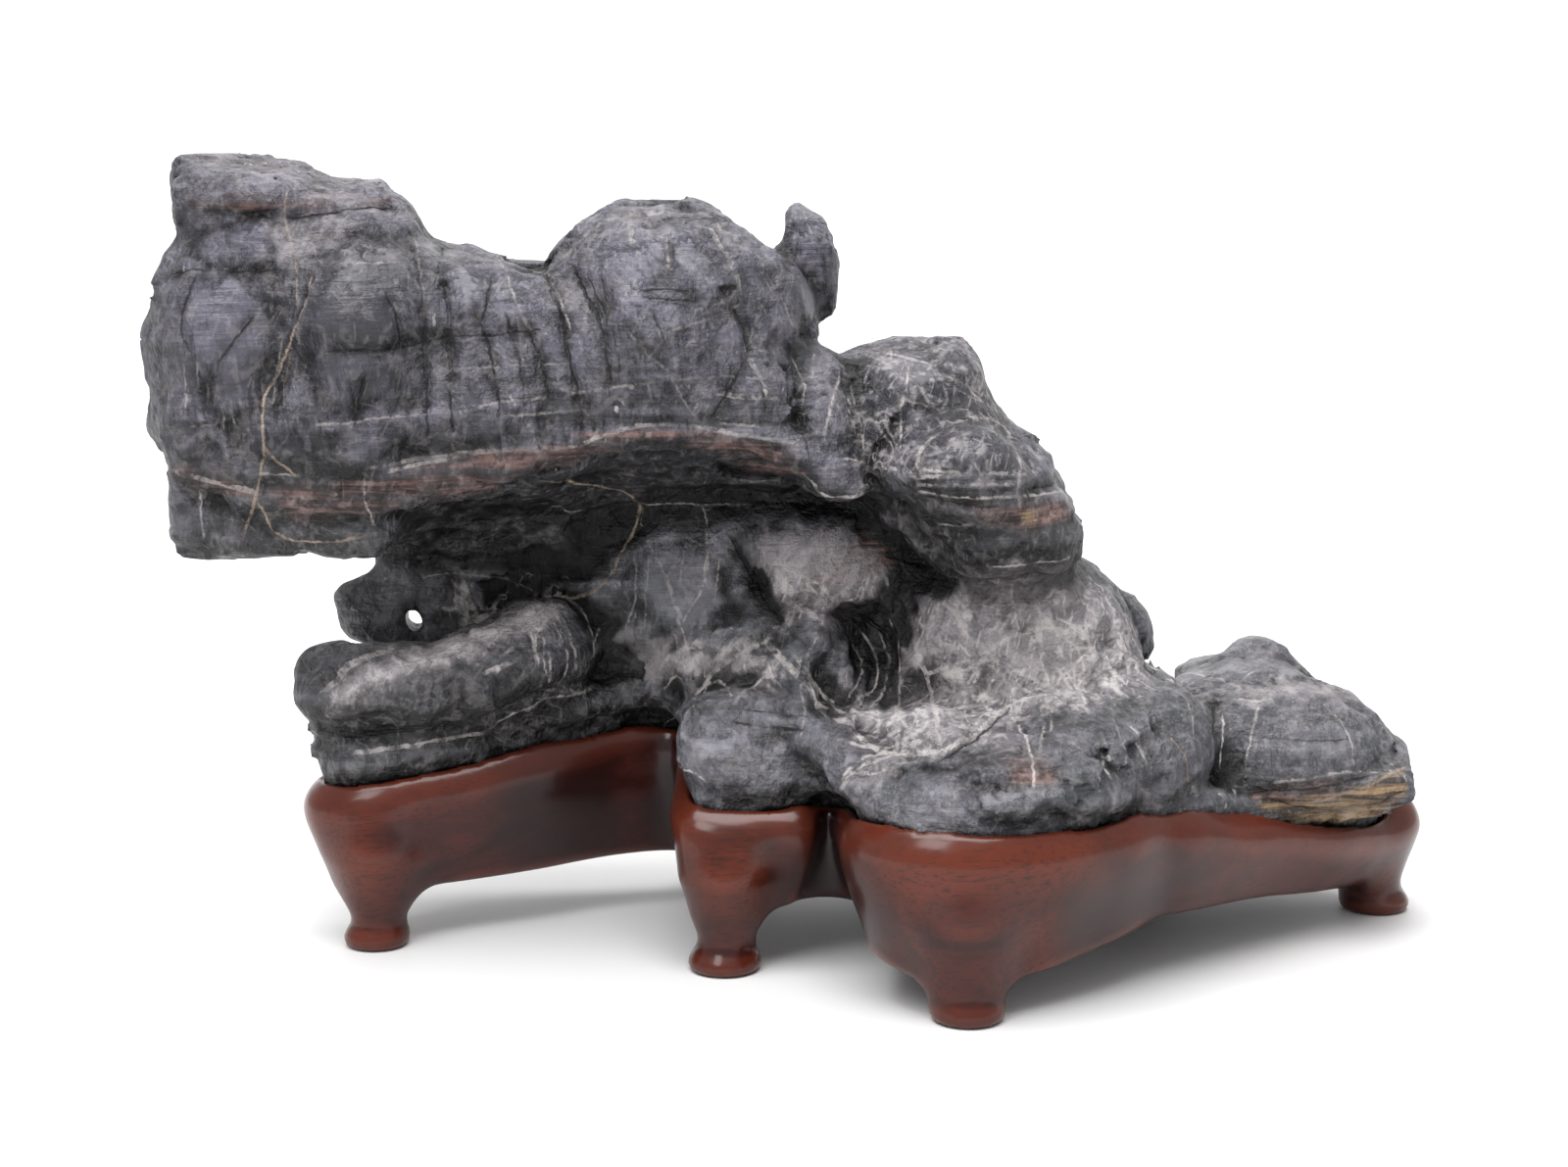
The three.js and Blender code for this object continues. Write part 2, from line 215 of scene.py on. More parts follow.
# Each line: width in mm, strength, and where it runs.
veins = [
    (1.6, 1, [(240, 570), (249, 543), (260, 515), (265, 484), (270, 462), (268, 440), (267, 421),
        (271, 399), (284, 381), (293, 359), (301, 334), (310, 312), (315, 296), (318, 278)]),
    (1, 0.7, [(302, 309), (302, 274), (299, 252), (293, 234), (290, 212), (293, 195)]),
    (1.4, 0.9, [(273, 462), (281, 471), (290, 478), (299, 485)]),
    (1.4, 1, [(263, 512), (271, 524), (274, 540), (287, 548), (306, 554), (321, 557), (340, 553),
        (365, 547)]),
    (0.9, 0.5, [(296, 365), (290, 390), (291, 409)]),
    (1.8, 0.8, [(563, 492), (583, 496), (610, 496), (633, 499), (645, 507), (653, 516)]),
    (1.8, 0.8, [(653, 516), (650, 530), (647, 543), (637, 557), (630, 573), (623, 590), (610, 603),
        (593, 609), (573, 612)]),
    (1.2, 0.6, [(1191, 750), (1206, 769), (1212, 785), (1208, 804)]),
    (1.6, 0.7, [(1318, 821), (1360, 815), (1398, 801), (1433, 784)]),
]
pale_lines = [
    (1.2, 0.7, [(268, 484), (296, 486)]),
    (0.9, 0.5, [(287, 352), (281, 384), (278, 409)]),
    (1, 0.9, [(188, 378), (190, 417)]),
    (1, 0.8, [(171, 402), (171, 421)]),
    (0.8, 0.8, [(159, 418), (159, 434)]),
    (0.8, 0.9, [(201, 371), (202, 387)]),
    (1, 1, [(212, 396), (212, 409)]),
    (1, 1, [(229, 418), (228, 434)]),
    (0.8, 1, [(237, 415), (238, 431)]),
    (0.8, 0.9, [(204, 509), (207, 543)]),
    (1, 0.8, [(371, 502), (379, 528)]),
    (1, 0.6, [(159, 434), (187, 435), (212, 434)]),
    (1, 0.8, [(318, 434), (340, 433), (359, 432), (378, 428), (406, 425), (431, 423)]),
    (2.6, 0.6, [(181, 484), (202, 487), (231, 495), (256, 502)]),
    (0.9, 0.6, [(421, 243), (429, 284), (432, 315)]),
    (1, 0.8, [(359, 271), (378, 272), (390, 271)]),
    (1.3, 0.9, [(503, 268), (517, 290), (528, 313), (538, 333)]),
    (1.1, 0.9, [(558, 276), (568, 297), (576, 317), (580, 333)]),
    (1, 0.5, [(467, 377), (520, 373), (567, 372)]),
    (1.4, 0.6, [(473, 420), (510, 410), (547, 407)]),
    (1.2, 0.8, [(510, 425), (550, 423), (587, 420)]),
    (1.3, 0.7, [(580, 403), (607, 399), (633, 395), (667, 390)]),
    (3.5, 0.7, [(567, 270), (580, 250), (600, 233), (627, 222), (653, 214), (677, 211), (700, 211),
        (720, 219), (737, 231), (753, 246)]),
    (2.4, 1, [(642, 227), (645, 250)]),
    (2.6, 0.9, [(725, 237), (737, 257), (747, 277), (752, 293)]),
    (1.8, 0.9, [(717, 314), (730, 311), (743, 307), (750, 297)]),
    (1.3, 0.7, [(687, 337), (710, 330), (733, 323), (753, 313)]),
    (1.3, 0.6, [(690, 363), (703, 350), (717, 333)]),
    (1, 0.7, [(687, 390), (697, 407), (705, 420)]),
    (1, 0.6, [(660, 390), (667, 410), (672, 427)]),
    (1, 0.7, [(763, 357), (770, 373), (780, 390)]),
    (1, 0.6, [(770, 260), (777, 277), (788, 300), (797, 317)]),
    (1.2, 0.6, [(697, 387), (733, 383), (783, 387)]),
    (1.2, 0.6, [(733, 403), (760, 407), (797, 407)]),
    (1, 0.8, [(810, 370), (820, 390), (817, 417)]),
    (1, 0.8, [(830, 363), (828, 383)]),
    (1.6, 0.9, [(400, 480), (433, 473), (467, 467), (500, 461), (533, 458), (560, 458), (583, 457),
        (600, 450), (613, 445)]),
    (1.8, 0.9, [(630, 440), (647, 435), (683, 434), (720, 438), (750, 445), (783, 448), (810, 453)]),
    (2, 1, [(823, 488), (835, 500), (863, 502), (873, 498)]),
    (1.3, 1, [(860, 363), (855, 387), (847, 413), (842, 433), (839, 448)]),
    (1.2, 0.8, [(890, 363), (910, 363), (933, 370), (943, 373)]),
    (1, 0.7, [(890, 373), (883, 387)]),
    (1.4, 1, [(927, 380), (925, 397), (920, 413), (918, 433), (917, 457)]),
    (1.4, 0.8, [(862, 417), (880, 430), (900, 433), (917, 430)]),
    (1.2, 0.8, [(867, 400), (870, 420), (878, 440), (877, 467)]),
    (1.4, 0.9, [(963, 397), (967, 407), (960, 420), (947, 413), (927, 410)]),
    (1.2, 0.8, [(960, 420), (973, 418), (987, 418), (1007, 427)]),
    (1.2, 0.8, [(900, 440), (910, 457), (907, 477)]),
    (2.2, 0.9, [(938, 477), (937, 463), (950, 447), (970, 433), (987, 427), (1010, 427), (1027, 433),
        (1038, 457), (1040, 487), (1042, 513)]),
    (2.6, 0.6, [(957, 347), (970, 363), (983, 383), (990, 400), (1000, 407)]),
    (1.2, 0.6, [(1017, 413), (1033, 430), (1053, 447), (1073, 467)]),
    (1.5, 0.9, [(933, 487), (967, 486), (1007, 483), (1047, 484), (1083, 481)]),
    (1.5, 0.8, [(940, 495), (987, 494), (1033, 495), (1087, 492)]),
    (1.4, 0.8, [(943, 504), (987, 508), (1033, 508), (1083, 502)]),
    (1.4, 0.8, [(860, 472), (880, 475), (907, 478), (930, 482)]),
    (1.2, 0.6, [(960, 537), (987, 536)]),
    (1, 0.6, [(1013, 577), (1053, 577), (1090, 570)]),
    (1, 0.7, [(820, 220), (825, 233), (828, 243)]),
    (0.9, 0.5, [(567, 519), (617, 515), (667, 514), (760, 515)]),
    (1.1, 0.6, [(663, 557), (677, 580), (687, 607), (695, 627)]),
    (1, 0.5, [(663, 563), (662, 587), (660, 613), (658, 640)]),
    (1.1, 0.5, [(647, 563), (650, 590), (648, 613), (640, 637)]),
    (2, 0.3, [(633, 567), (647, 563), (663, 555), (677, 548), (700, 548), (720, 557), (737, 573)]),
    (0.8, 0.6, [(718, 520), (723, 540)]),
    (0.8, 0.6, [(720, 550), (722, 580)]),
    (0.8, 0.6, [(733, 573), (730, 613)]),
    (1, 0.35, [(393, 600), (433, 590), (473, 583), (513, 590), (543, 603)]),
    (3.5, 0.9, [(327, 710), (343, 693), (383, 670), (410, 660), (447, 650), (473, 640), (500, 627),
        (527, 618), (553, 612), (573, 612)]),
    (0.9, 0.9, [(557, 617), (548, 640), (545, 657), (548, 673)]),
    (0.9, 0.8, [(560, 622), (567, 640), (573, 653)]),
    (1, 0.8, [(568, 623), (583, 653), (588, 673)]),
    (0.8, 0.7, [(550, 627), (556, 657), (553, 680), (560, 690)]),
    (0.9, 0.8, [(610, 647), (605, 670)]),
    (0.8, 0.7, [(480, 653), (482, 670)]),
    (2.4, 1, [(517, 665), (529, 659)]),
    (2, 0.9, [(490, 670), (494, 667)]),
    (2.2, 0.8, [(500, 685), (518, 678)]),
    (2.4, 0.7, [(327, 765), (367, 768), (410, 762), (443, 755), (487, 747)]),
    (2, 0.7, [(507, 733), (533, 723), (567, 712), (600, 703)]),
    (1.6, 0.7, [(383, 477), (433, 468), (473, 462), (517, 458), (553, 460), (583, 457), (600, 450)]),
    (1.1, 1, [(910, 637), (917, 663), (917, 693), (915, 720), (917, 750)]),
    (1.1, 0.7, [(880, 647), (893, 663), (897, 687), (887, 710), (867, 720), (843, 717)]),
    (1, 0.6, [(870, 653), (880, 670), (880, 690), (867, 707)]),
    (1, 0.6, [(900, 653), (907, 677), (903, 700), (890, 720), (867, 733)]),
    (1.8, 0.8, [(813, 673), (827, 693), (847, 713), (867, 727), (893, 733)]),
    (3.4, 1, [(780, 652), (795, 670), (813, 690), (830, 707), (850, 727), (867, 740), (883, 760),
        (900, 768), (927, 770), (953, 768)]),
    (2.2, 0.8, [(780, 652), (760, 663), (723, 687), (707, 707)]),
    (2, 0.8, [(795, 690), (770, 697), (753, 717)]),
    (1.8, 0.8, [(860, 800), (880, 780), (913, 770)]),
    (1.6, 0.8, [(867, 788), (893, 787), (933, 777)]),
    (2.2, 1, [(963, 767), (980, 757), (997, 747), (1017, 727), (1040, 713), (1073, 708)]),
    (2.2, 1, [(933, 663), (943, 687), (950, 710), (955, 737), (960, 767)]),
    (2.2, 0.9, [(947, 687), (967, 680), (1000, 673), (1023, 653), (1053, 642), (1080, 643),
        (1113, 640)]),
    (1.6, 0.9, [(1060, 623), (1063, 653), (1063, 677), (1073, 703)]),
    (1.6, 0.8, [(1000, 673), (1027, 693), (1053, 707)]),
    (1.5, 0.8, [(1093, 663), (1097, 693), (1107, 720)]),
    (1.5, 0.8, [(1075, 703), (1093, 680), (1118, 660)]),
    (1.2, 0.7, [(927, 717), (947, 710)]),
    (1.3, 0.8, [(1030, 727), (1043, 747), (1052, 770), (1055, 797)]),
    (1, 0.7, [(1073, 727), (1072, 747)]),
    (1.2, 0.8, [(817, 698), (822, 727), (818, 753)]),
    (1, 0.7, [(720, 540), (723, 577), (717, 603), (700, 630)]),
    (0.9, 0.6, [(680, 593), (693, 627)]),
    (0.9, 0.6, [(700, 553), (695, 587)]),
    (0.9, 0.8, [(1208, 708), (1216, 727), (1220, 754)]),
    (1.1, 0.9, [(1248, 731), (1246, 754), (1242, 777)]),
    (1.2, 0.7, [(1283, 723), (1277, 750), (1272, 773)]),
    (0.9, 0.8, [(1352, 692), (1356, 715)]),
    (0.9, 0.7, [(1354, 723), (1368, 738), (1377, 758), (1381, 777)]),
    (0.9, 0.6, [(1160, 750), (1168, 769)]),
    (1, 0.7, [(1137, 738), (1143, 762), (1145, 785)]),
    (1.4, 0.7, [(1264, 802), (1314, 798), (1360, 788), (1406, 788)]),
    (1.4, 0.9, [(1271, 693), (1281, 688)]),
    (2.4, 0.7, [(1195, 696), (1229, 712), (1264, 715), (1302, 712)]),
    (1.2, 0.6, [(1191, 673), (1225, 692), (1264, 702)]),
    (2, 0.8, [(860, 755), (885, 765), (910, 760), (935, 752), (945, 740)]),
    (1.8, 0.8, [(860, 792), (875, 777), (900, 768), (935, 767)]),
    (2, 0.8, [(1002, 672), (1020, 676), (1040, 687), (1057, 695), (1072, 702)]),
    (1.6, 0.8, [(1007, 677), (1022, 690), (1032, 700), (1040, 710)]),
    (1.6, 0.8, [(1062, 627), (1072, 637), (1085, 652), (1100, 660), (1105, 675), (1106, 692)]),
    (1.6, 0.8, [(1100, 652), (1122, 647), (1142, 650), (1150, 640)]),
    (1.3, 0.7, [(1102, 662), (1125, 660), (1142, 652)]),
    (1.3, 0.7, [(1105, 674), (1130, 676), (1150, 675)]),
    (2, 0.8, [(1082, 687), (1092, 700), (1105, 710)]),
    (1.3, 0.8, [(1065, 742), (1061, 765)]),
    (1.6, 0.9, [(1125, 755), (1129, 775), (1135, 787)]),
    (1.3, 0.9, [(1152, 742), (1162, 757), (1170, 775)]),
    (1.5, 0.7, [(1110, 590), (1120, 600), (1132, 617), (1137, 637)]),
    (1.4, 0.6, [(1125, 585), (1140, 602), (1150, 620), (1155, 640)]),
    (1.6, 0.7, [(1147, 650), (1160, 667), (1175, 680), (1185, 690)]),
    (2, 0.9, [(980, 680), (985, 687), (995, 677)]),
    (1.2, 0.8, [(985, 705), (992, 690), (1002, 680)]),
    (1.1, 0.8, [(970, 720), (975, 705), (982, 692)]),
    (1.2, 0.8, [(1032, 602), (1035, 630), (1040, 642)]),
    (1.6, 0.8, [(1020, 645), (1030, 630)]),
    (1.2, 0.7, [(902, 582), (905, 595)]),
    (1.1, 0.8, [(719, 587), (722, 564)]),
    (1.1, 0.8, [(694, 637), (700, 659)]),
    (1.6, 0.7, [(686, 642), (692, 659), (680, 675)]),
    (1.3, 0.9, [(562, 617), (557, 631), (551, 642)]),
    (1.7, 1, [(564, 623), (575, 639), (586, 662), (587, 678)]),
    (1.5, 0.9, [(604, 642), (608, 653), (604, 681)]),
    (1.3, 0.9, [(543, 650), (546, 670)]),
    (1.4, 0.9, [(560, 673), (561, 692)]),
    (1.3, 0.8, [(578, 664), (579, 687)]),
    (1.5, 0.6, [(569, 610), (589, 617), (597, 631)]),
    (2, 1, [(508, 684), (512, 680)]),
    (1.7, 0.9, [(533, 639), (540, 638)]),
    (2.2, 0.8, [(819, 687), (836, 709), (847, 731), (860, 739)]),
    (1.3, 0.7, [(833, 653), (825, 667)]),
    (1.6, 0.7, [(703, 723), (711, 714), (722, 714)]),
    (1.2, 1, [(692, 726), (688, 742), (690, 764), (694, 784), (706, 787), (715, 794)]),
    (1.1, 0.8, [(683, 698), (692, 687), (700, 698), (700, 709)]),
    (1.1, 0.8, [(708, 720), (714, 700), (731, 692), (744, 703), (746, 714)]),
    (1.4, 0.8, [(680, 249), (682, 265), (680, 280)]),
    (1.4, 0.8, [(645, 343), (655, 355), (665, 367), (676, 374)]),
    (1.2, 0.8, [(770, 297), (775, 308), (780, 316)]),
    (1.4, 0.8, [(784, 283), (792, 295), (800, 311), (808, 335)]),
    (2, 0.6, [(738, 233), (748, 243), (757, 257)]),
    (1.4, 0.7, [(764, 366), (772, 380), (780, 392)]),
    (1.3, 0.8, [(743, 401), (770, 405), (797, 408)]),
    (1.4, 0.8, [(740, 434), (765, 436), (790, 436)]),
    (1.3, 0.7, [(858, 405), (860, 425), (864, 445)]),
    (1.3, 0.7, [(880, 425), (884, 437), (880, 450)]),
    (1.3, 0.7, [(905, 436), (912, 452), (921, 466), (919, 474)]),
    (1.4, 0.8, [(946, 480), (980, 484), (1033, 483), (1090, 480)]),
]
cracks = [
    (2, 0.8, [(176, 278), (212, 276), (243, 278), (278, 275)]),
    (1.6, 0.7, [(213, 220), (243, 218), (274, 222)]),
    (2.2, 1, [(296, 222), (328, 217), (352, 212), (378, 209), (402, 211)]),
    (2.2, 0.8, [(256, 328), (243, 343), (231, 359), (221, 378), (213, 406)]),
    (2, 1, [(340, 359), (359, 357), (384, 359), (399, 356)]),
    (2.4, 1, [(371, 390), (367, 409), (362, 431)]),
    (1.6, 0.8, [(396, 306), (406, 328), (409, 352)]),
    (1.8, 0.9, [(198, 287), (187, 315), (184, 340), (193, 356)]),
    (1.4, 0.7, [(431, 315), (437, 359), (434, 390), (435, 421), (437, 452)]),
    (1.4, 0.7, [(452, 278), (456, 315), (459, 359), (462, 390)]),
    (1.6, 0.8, [(500, 262), (501, 290), (495, 317), (492, 327)]),
    (1.8, 1, [(488, 325), (497, 343), (502, 370), (507, 397), (510, 420)]),
    (1.6, 0.9, [(538, 333), (547, 357), (555, 380), (558, 403)]),
    (1.6, 0.8, [(518, 327), (525, 347), (530, 370), (533, 390)]),
    (2.2, 1, [(554, 275), (563, 297), (572, 317), (575, 333), (577, 353), (582, 377), (588, 403),
        (593, 437)]),
    (2.4, 1, [(582, 272), (590, 287), (600, 307), (613, 333), (618, 363), (622, 390)]),
    (1.6, 0.7, [(600, 287), (613, 317), (620, 337)]),
    (1.4, 0.7, [(452, 252), (450, 267), (443, 290)]),
    (1.4, 0.7, [(420, 250), (425, 277), (430, 303), (433, 333), (433, 377), (435, 423)]),
    (1.6, 0.8, [(455, 350), (458, 390), (462, 437)]),
    (1.6, 0.9, [(400, 357), (420, 353), (467, 342), (500, 343), (547, 337)]),
    (1.6, 0.9, [(660, 297), (680, 295), (700, 297)]),
    (1.6, 0.8, [(663, 305), (687, 307), (710, 307)]),
    (1.4, 0.6, [(613, 287), (613, 303), (620, 317)]),
    (2, 0.8, [(643, 337), (653, 353), (667, 367), (677, 373)]),
    (1.6, 0.7, [(667, 323), (677, 347)]),
    (2.4, 1, [(753, 317), (763, 337), (767, 353), (760, 370), (750, 390), (737, 410), (728, 427)]),
    (1.8, 0.9, [(805, 377), (803, 403), (813, 430), (823, 457)]),
    (1.6, 0.8, [(943, 491), (987, 490), (1033, 489), (1085, 486)]),
    (1.6, 0.8, [(943, 499), (987, 500), (1033, 501), (1087, 497)]),
    (2.2, 1, [(943, 510), (973, 515), (1017, 518)]),
    (2.4, 0.8, [(910, 570), (950, 583), (1000, 591), (1047, 587), (1093, 580)]),
    (1.8, 0.8, [(820, 280), (830, 287), (837, 300)]),
    (3, 1, [(330, 748), (367, 753), (410, 748), (443, 742), (487, 733), (513, 723), (553, 707),
        (593, 697), (633, 690)]),
    (4, 1, [(747, 550), (757, 570), (767, 590), (780, 613), (795, 630)]),
    (3, 1, [(860, 623), (880, 630), (897, 640), (910, 657), (913, 677)]),
    (2, 0.9, [(753, 737), (777, 742), (800, 744), (817, 745)]),
    (2, 0.9, [(963, 772), (987, 758), (1007, 740), (1027, 725)]),
    (2, 1, [(1239, 715), (1241, 754), (1240, 800)]),
    (2, 0.9, [(1268, 810), (1314, 808), (1360, 802), (1398, 792)]),
    (2, 0.8, [(1295, 817), (1333, 827), (1372, 826), (1414, 817), (1433, 810)]),
    (1.8, 0.7, [(1125, 754), (1129, 781)]),
    (1.6, 0.6, [(1295, 754), (1333, 758), (1368, 756)]),
    (1.6, 0.8, [(764, 725), (792, 727), (819, 731)]),
]
smooth_faces = [
    [(212, 231), (278, 224), (278, 271), (243, 276), (198, 276)],
    [(192, 285), (235, 278), (262, 292), (282, 325), (276, 372), (262, 410), (232, 432), (207, 405),
        (196, 362), (184, 334)],
    [(330, 271), (359, 240), (415, 244), (428, 274), (408, 328), (412, 372), (388, 408), (350, 424),
        (324, 405), (312, 343), (319, 296)],
    [(455, 265), (482, 273), (495, 290), (492, 313), (467, 330), (455, 307)],
    [(508, 278), (550, 287), (563, 320), (543, 323), (527, 303)],
    [(607, 257), (633, 245), (680, 242), (683, 277), (667, 290), (617, 300), (605, 277)],
    [(687, 243), (710, 237), (728, 245), (737, 267), (745, 288), (737, 300), (717, 305), (687, 290)],
    [(720, 330), (753, 320), (765, 343), (753, 370), (727, 377), (718, 357)],
    [(943, 467), (970, 437), (987, 433), (1013, 433), (1033, 455), (1036, 479), (987, 482),
        (943, 483)],
    [(923, 412), (947, 418), (959, 424), (956, 431), (933, 440), (923, 433)],
    [(877, 360), (910, 353), (950, 357), (967, 380), (973, 403), (933, 400), (893, 387)],
    [(807, 237), (820, 230), (840, 230), (850, 267), (848, 313), (837, 330), (820, 327), (807, 300)],
    [(653, 560), (700, 553), (730, 573), (743, 613), (717, 647), (673, 640), (647, 607)],
    [(753, 540), (820, 537), (860, 550), (840, 580), (820, 613), (793, 607), (767, 573)],
    [(755, 718), (770, 703), (803, 702), (823, 720), (865, 753), (865, 775), (820, 765), (770, 748),
        (755, 737)],
    [(977, 782), (1013, 768), (1050, 772), (1057, 783), (1027, 797), (980, 803)],
    [(913, 788), (973, 785), (1000, 810), (973, 833), (933, 818)],
    [(1281, 740), (1322, 725), (1366, 733), (1385, 762), (1372, 780), (1291, 784)],
    [(1075, 740), (1122, 746), (1125, 765), (1091, 769), (1060, 762)],
]
dusty_patches = [
    [(278, 218), (315, 222), (359, 222), (365, 231), (340, 249), (328, 271), (312, 278), (299, 274),
        (281, 268), (278, 243)],
    [(196, 162), (231, 156), (246, 161), (328, 173), (359, 182), (315, 179), (246, 177), (224, 179),
        (209, 176)],
    [(567, 268), (587, 240), (627, 218), (677, 207), (720, 215), (760, 247), (747, 253), (720, 233),
        (677, 227), (633, 240), (600, 257), (587, 270)],
    [(330, 713), (383, 673), (450, 653), (500, 632), (530, 622), (487, 653), (433, 680), (400, 687),
        (360, 698), (335, 718)],
    [(613, 627), (667, 640), (717, 667), (757, 673), (757, 700), (700, 687), (653, 687), (620, 667)],
    [(862, 799), (887, 780), (913, 771), (963, 769), (953, 782), (913, 793), (880, 803)],
    [(920, 630), (967, 650), (1047, 642), (1117, 637), (1117, 730), (1077, 707), (1040, 711),
        (1000, 680), (967, 680), (940, 673)],
    [(1200, 694), (1229, 698), (1264, 690), (1341, 690), (1360, 708), (1302, 719), (1264, 719),
        (1225, 715)],
]
hazy_patches = [
    [(765, 560), (800, 545), (850, 543), (910, 572), (908, 612), (880, 625), (840, 640), (800, 640),
        (785, 600)],
    [(330, 708), (400, 668), (470, 642), (560, 612), (582, 622), (520, 655), (440, 682), (380, 702),
        (345, 722)],
    [(905, 625), (960, 598), (1100, 588), (1158, 640), (1178, 700), (1120, 722), (1060, 722), (1005, 757),
        (940, 772), (885, 750), (825, 705), (860, 690), (905, 722)],
    [(690, 650), (760, 655), (800, 680), (790, 705), (740, 700), (700, 690)],
]
brown_patches = [
    [(188, 203), (240, 200), (300, 203), (350, 207), (400, 206), (398, 216), (340, 214), (270, 216),
        (190, 217)],
    [(265, 499), (302, 493), (359, 490), (406, 481), (465, 471), (465, 493), (421, 509), (359, 518),
        (296, 515)],
    [(181, 482), (218, 484), (262, 499), (256, 509), (218, 499), (181, 493)],
    [(613, 445), (653, 436), (700, 439), (750, 448), (800, 460), (820, 487), (793, 487), (750, 470),
        (700, 453), (653, 448), (620, 457)],
    [(987, 512), (1033, 513), (1083, 505), (1091, 520), (1090, 537), (1040, 540), (1000, 533)],
    [(300, 522), (333, 512), (367, 503), (410, 493), (450, 482), (487, 482), (513, 487), (500, 503),
        (450, 508), (400, 515), (367, 527), (300, 535)],
    [(455, 474), (500, 463), (560, 452), (615, 441), (640, 447), (605, 464), (555, 476), (505, 488),
        (460, 494)],
    [(867, 540), (893, 550), (910, 570), (900, 593), (880, 617), (853, 620), (823, 597), (847, 563)],
    [(1027, 775), (1057, 770), (1083, 783), (1073, 800), (1040, 800)],
    [(1268, 800), (1322, 804), (1429, 796), (1433, 815), (1398, 827), (1337, 831), (1283, 819)],
]
# patches painted darker
darkened_patches = [
    [(334, 262), (359, 240), (415, 244), (425, 274), (405, 328), (402, 358), (340, 372), (312, 343),
        (318, 296)],
    [(905, 520), (960, 512), (1030, 514), (1095, 540), (1100, 575), (1040, 592), (960, 590), (905, 565)],
    [(325, 712), (400, 704), (500, 686), (600, 666), (640, 695), (560, 718), (470, 748), (330, 755)],
    [(860, 370), (930, 350), (1000, 372), (1030, 410), (960, 430), (880, 470)],
    [(935, 470), (965, 440), (1010, 435), (1036, 460), (1036, 481), (940, 482)],
    [(975, 785), (1015, 770), (1055, 775), (1050, 800), (985, 812)],
]
# patches of painted sheen
painted_sheen_patches = [
    [(185, 290), (250, 285), (285, 320), (270, 352), (240, 365), (200, 362), (180, 335)],
    [(748, 720), (770, 700), (808, 700), (830, 725), (868, 755), (862, 775), (815, 768), (765, 750)],
    [(680, 725), (750, 735), (820, 760), (850, 790), (800, 800), (720, 790), (690, 770)],
    [(605, 560), (700, 538), (755, 560), (778, 620), (740, 658), (650, 662), (598, 610)],
    [(870, 800), (905, 780), (975, 782), (985, 815), (1050, 806), (1040, 832), (960, 842), (890, 830)],
]
ochre_patches = [
    [(1041, 520), (1056, 518), (1055, 532), (1044, 534)],
    [(1285, 818), (1330, 816), (1370, 809), (1400, 797), (1433, 783), (1436, 812), (1410, 829), (1370, 839),
        (1320, 838), (1290, 829)],
]


def rounded(line):
    """The line with its corners cut twice."""
    for _ in range(2):
        ends = line[:1], line[-1:]
        line = np.stack([line[:-1] * 0.75 + line[1:] * 0.25, line[:-1] * 0.25 + line[1:] * 0.75], axis=1)
        line = np.concatenate([ends[0], line.reshape(-1, 3), ends[1]])
    return line


def traced(rows):
    """Rows of width, strength and pixels as width, strength and rounded lines on the solid."""
    found = [(width, strength, laid(pixels)) for width, strength, pixels in rows]
    return [(width, strength, rounded(line)) for width, strength, line in found if len(line) > 1]


def across(line, points, normals, far):
    """For points near a line: their numbers, signed distance across it, and 1 fading to 0 at its ends."""
    low, high = line.min(axis=0) - far, line.max(axis=0) + far
    chosen = np.nonzero(np.all((points > low) & (points < high), axis=1))[0]
    spots, up = points[chosen], normals[chosen]
    nearest = np.full(len(chosen), 1e9)
    signed = np.full(len(chosen), far)
    inside = np.zeros(len(chosen))
    last = len(line) - 2
    for i in range(last + 1):
        length = np.linalg.norm(line[i + 1] - line[i])
        along = (line[i + 1] - line[i]) / length
        gap = spots - line[i]
        lift = (gap * up).sum(axis=1)
        gap = gap - lift[:, None] * up
        run = gap @ along
        sideways = np.cross(along, up)
        sideways /= np.maximum(np.linalg.norm(sideways, axis=1), 0.2)[:, None]
        side = (gap * sideways).sum(axis=1)
        before, after = np.maximum(-run, 0), np.maximum(run - length, 0)
        distance = np.hypot(side, before + after) + 0.2 * np.abs(lift)
        closer = distance < nearest
        nearest = np.where(closer, distance, nearest)
        loose = (before if i == 0 else 0) + (after if i == last else 0)
        bend = (0 if i == 0 else before) + (0 if i == last else after)
        signed = np.where(closer, np.copysign(np.hypot(side, bend), side), signed)
        inside = np.where(closer, (1 - ease(loose, 0, 3)) * (1 - ease(np.abs(lift), 7, 10)), inside)
    return chosen, signed, inside


def outlined(outlines, points, normals, soft=6.0, shell=stone_shell):
    """Signed distance in mm into the nearest of some outlines, as seen from the front."""
    pixels, ahead = shown(points)
    depth = np.full(len(points), -soft)
    for outline in outlines:
        reached = shown(laid(outline, shell))[1]
        corners = np.array(outline, float)
        scale = focal / reached.mean()
        pad = soft * scale
        low, high = corners.min(axis=0) - pad, corners.max(axis=0) + pad
        near = np.all((pixels > low) & (pixels < high), axis=1) & (ahead > reached.min() - 15)
        chosen = np.nonzero(near & (ahead < reached.max() + 15) & (normals[:, 1] < 0.35))[0]
        u, v = pixels[chosen].T
        square = np.full(len(chosen), 1e9)
        inside = np.zeros(len(chosen), bool)
        for (au, av), (bu, bv) in zip(np.roll(corners, 1, axis=0), corners):
            du, dv = bu - au, bv - av
            t = np.clip(((u - au) * du + (v - av) * dv) / (du * du + dv * dv), 0, 1)
            square = np.minimum(square, (u - au - t * du) ** 2 + (v - av - t * dv) ** 2)
            if av != bv:
                inside ^= ((av > v) != (bv > v)) & (u < au + du * (v - av) / dv)
        value = np.sqrt(square) / scale * np.where(inside, 1, -1)
        depth[chosen] = np.maximum(depth[chosen], np.clip(value, -soft, soft))
    return depth


vein_lines, pale_traces, crack_lines = traced(veins), traced(pale_lines), traced(cracks)

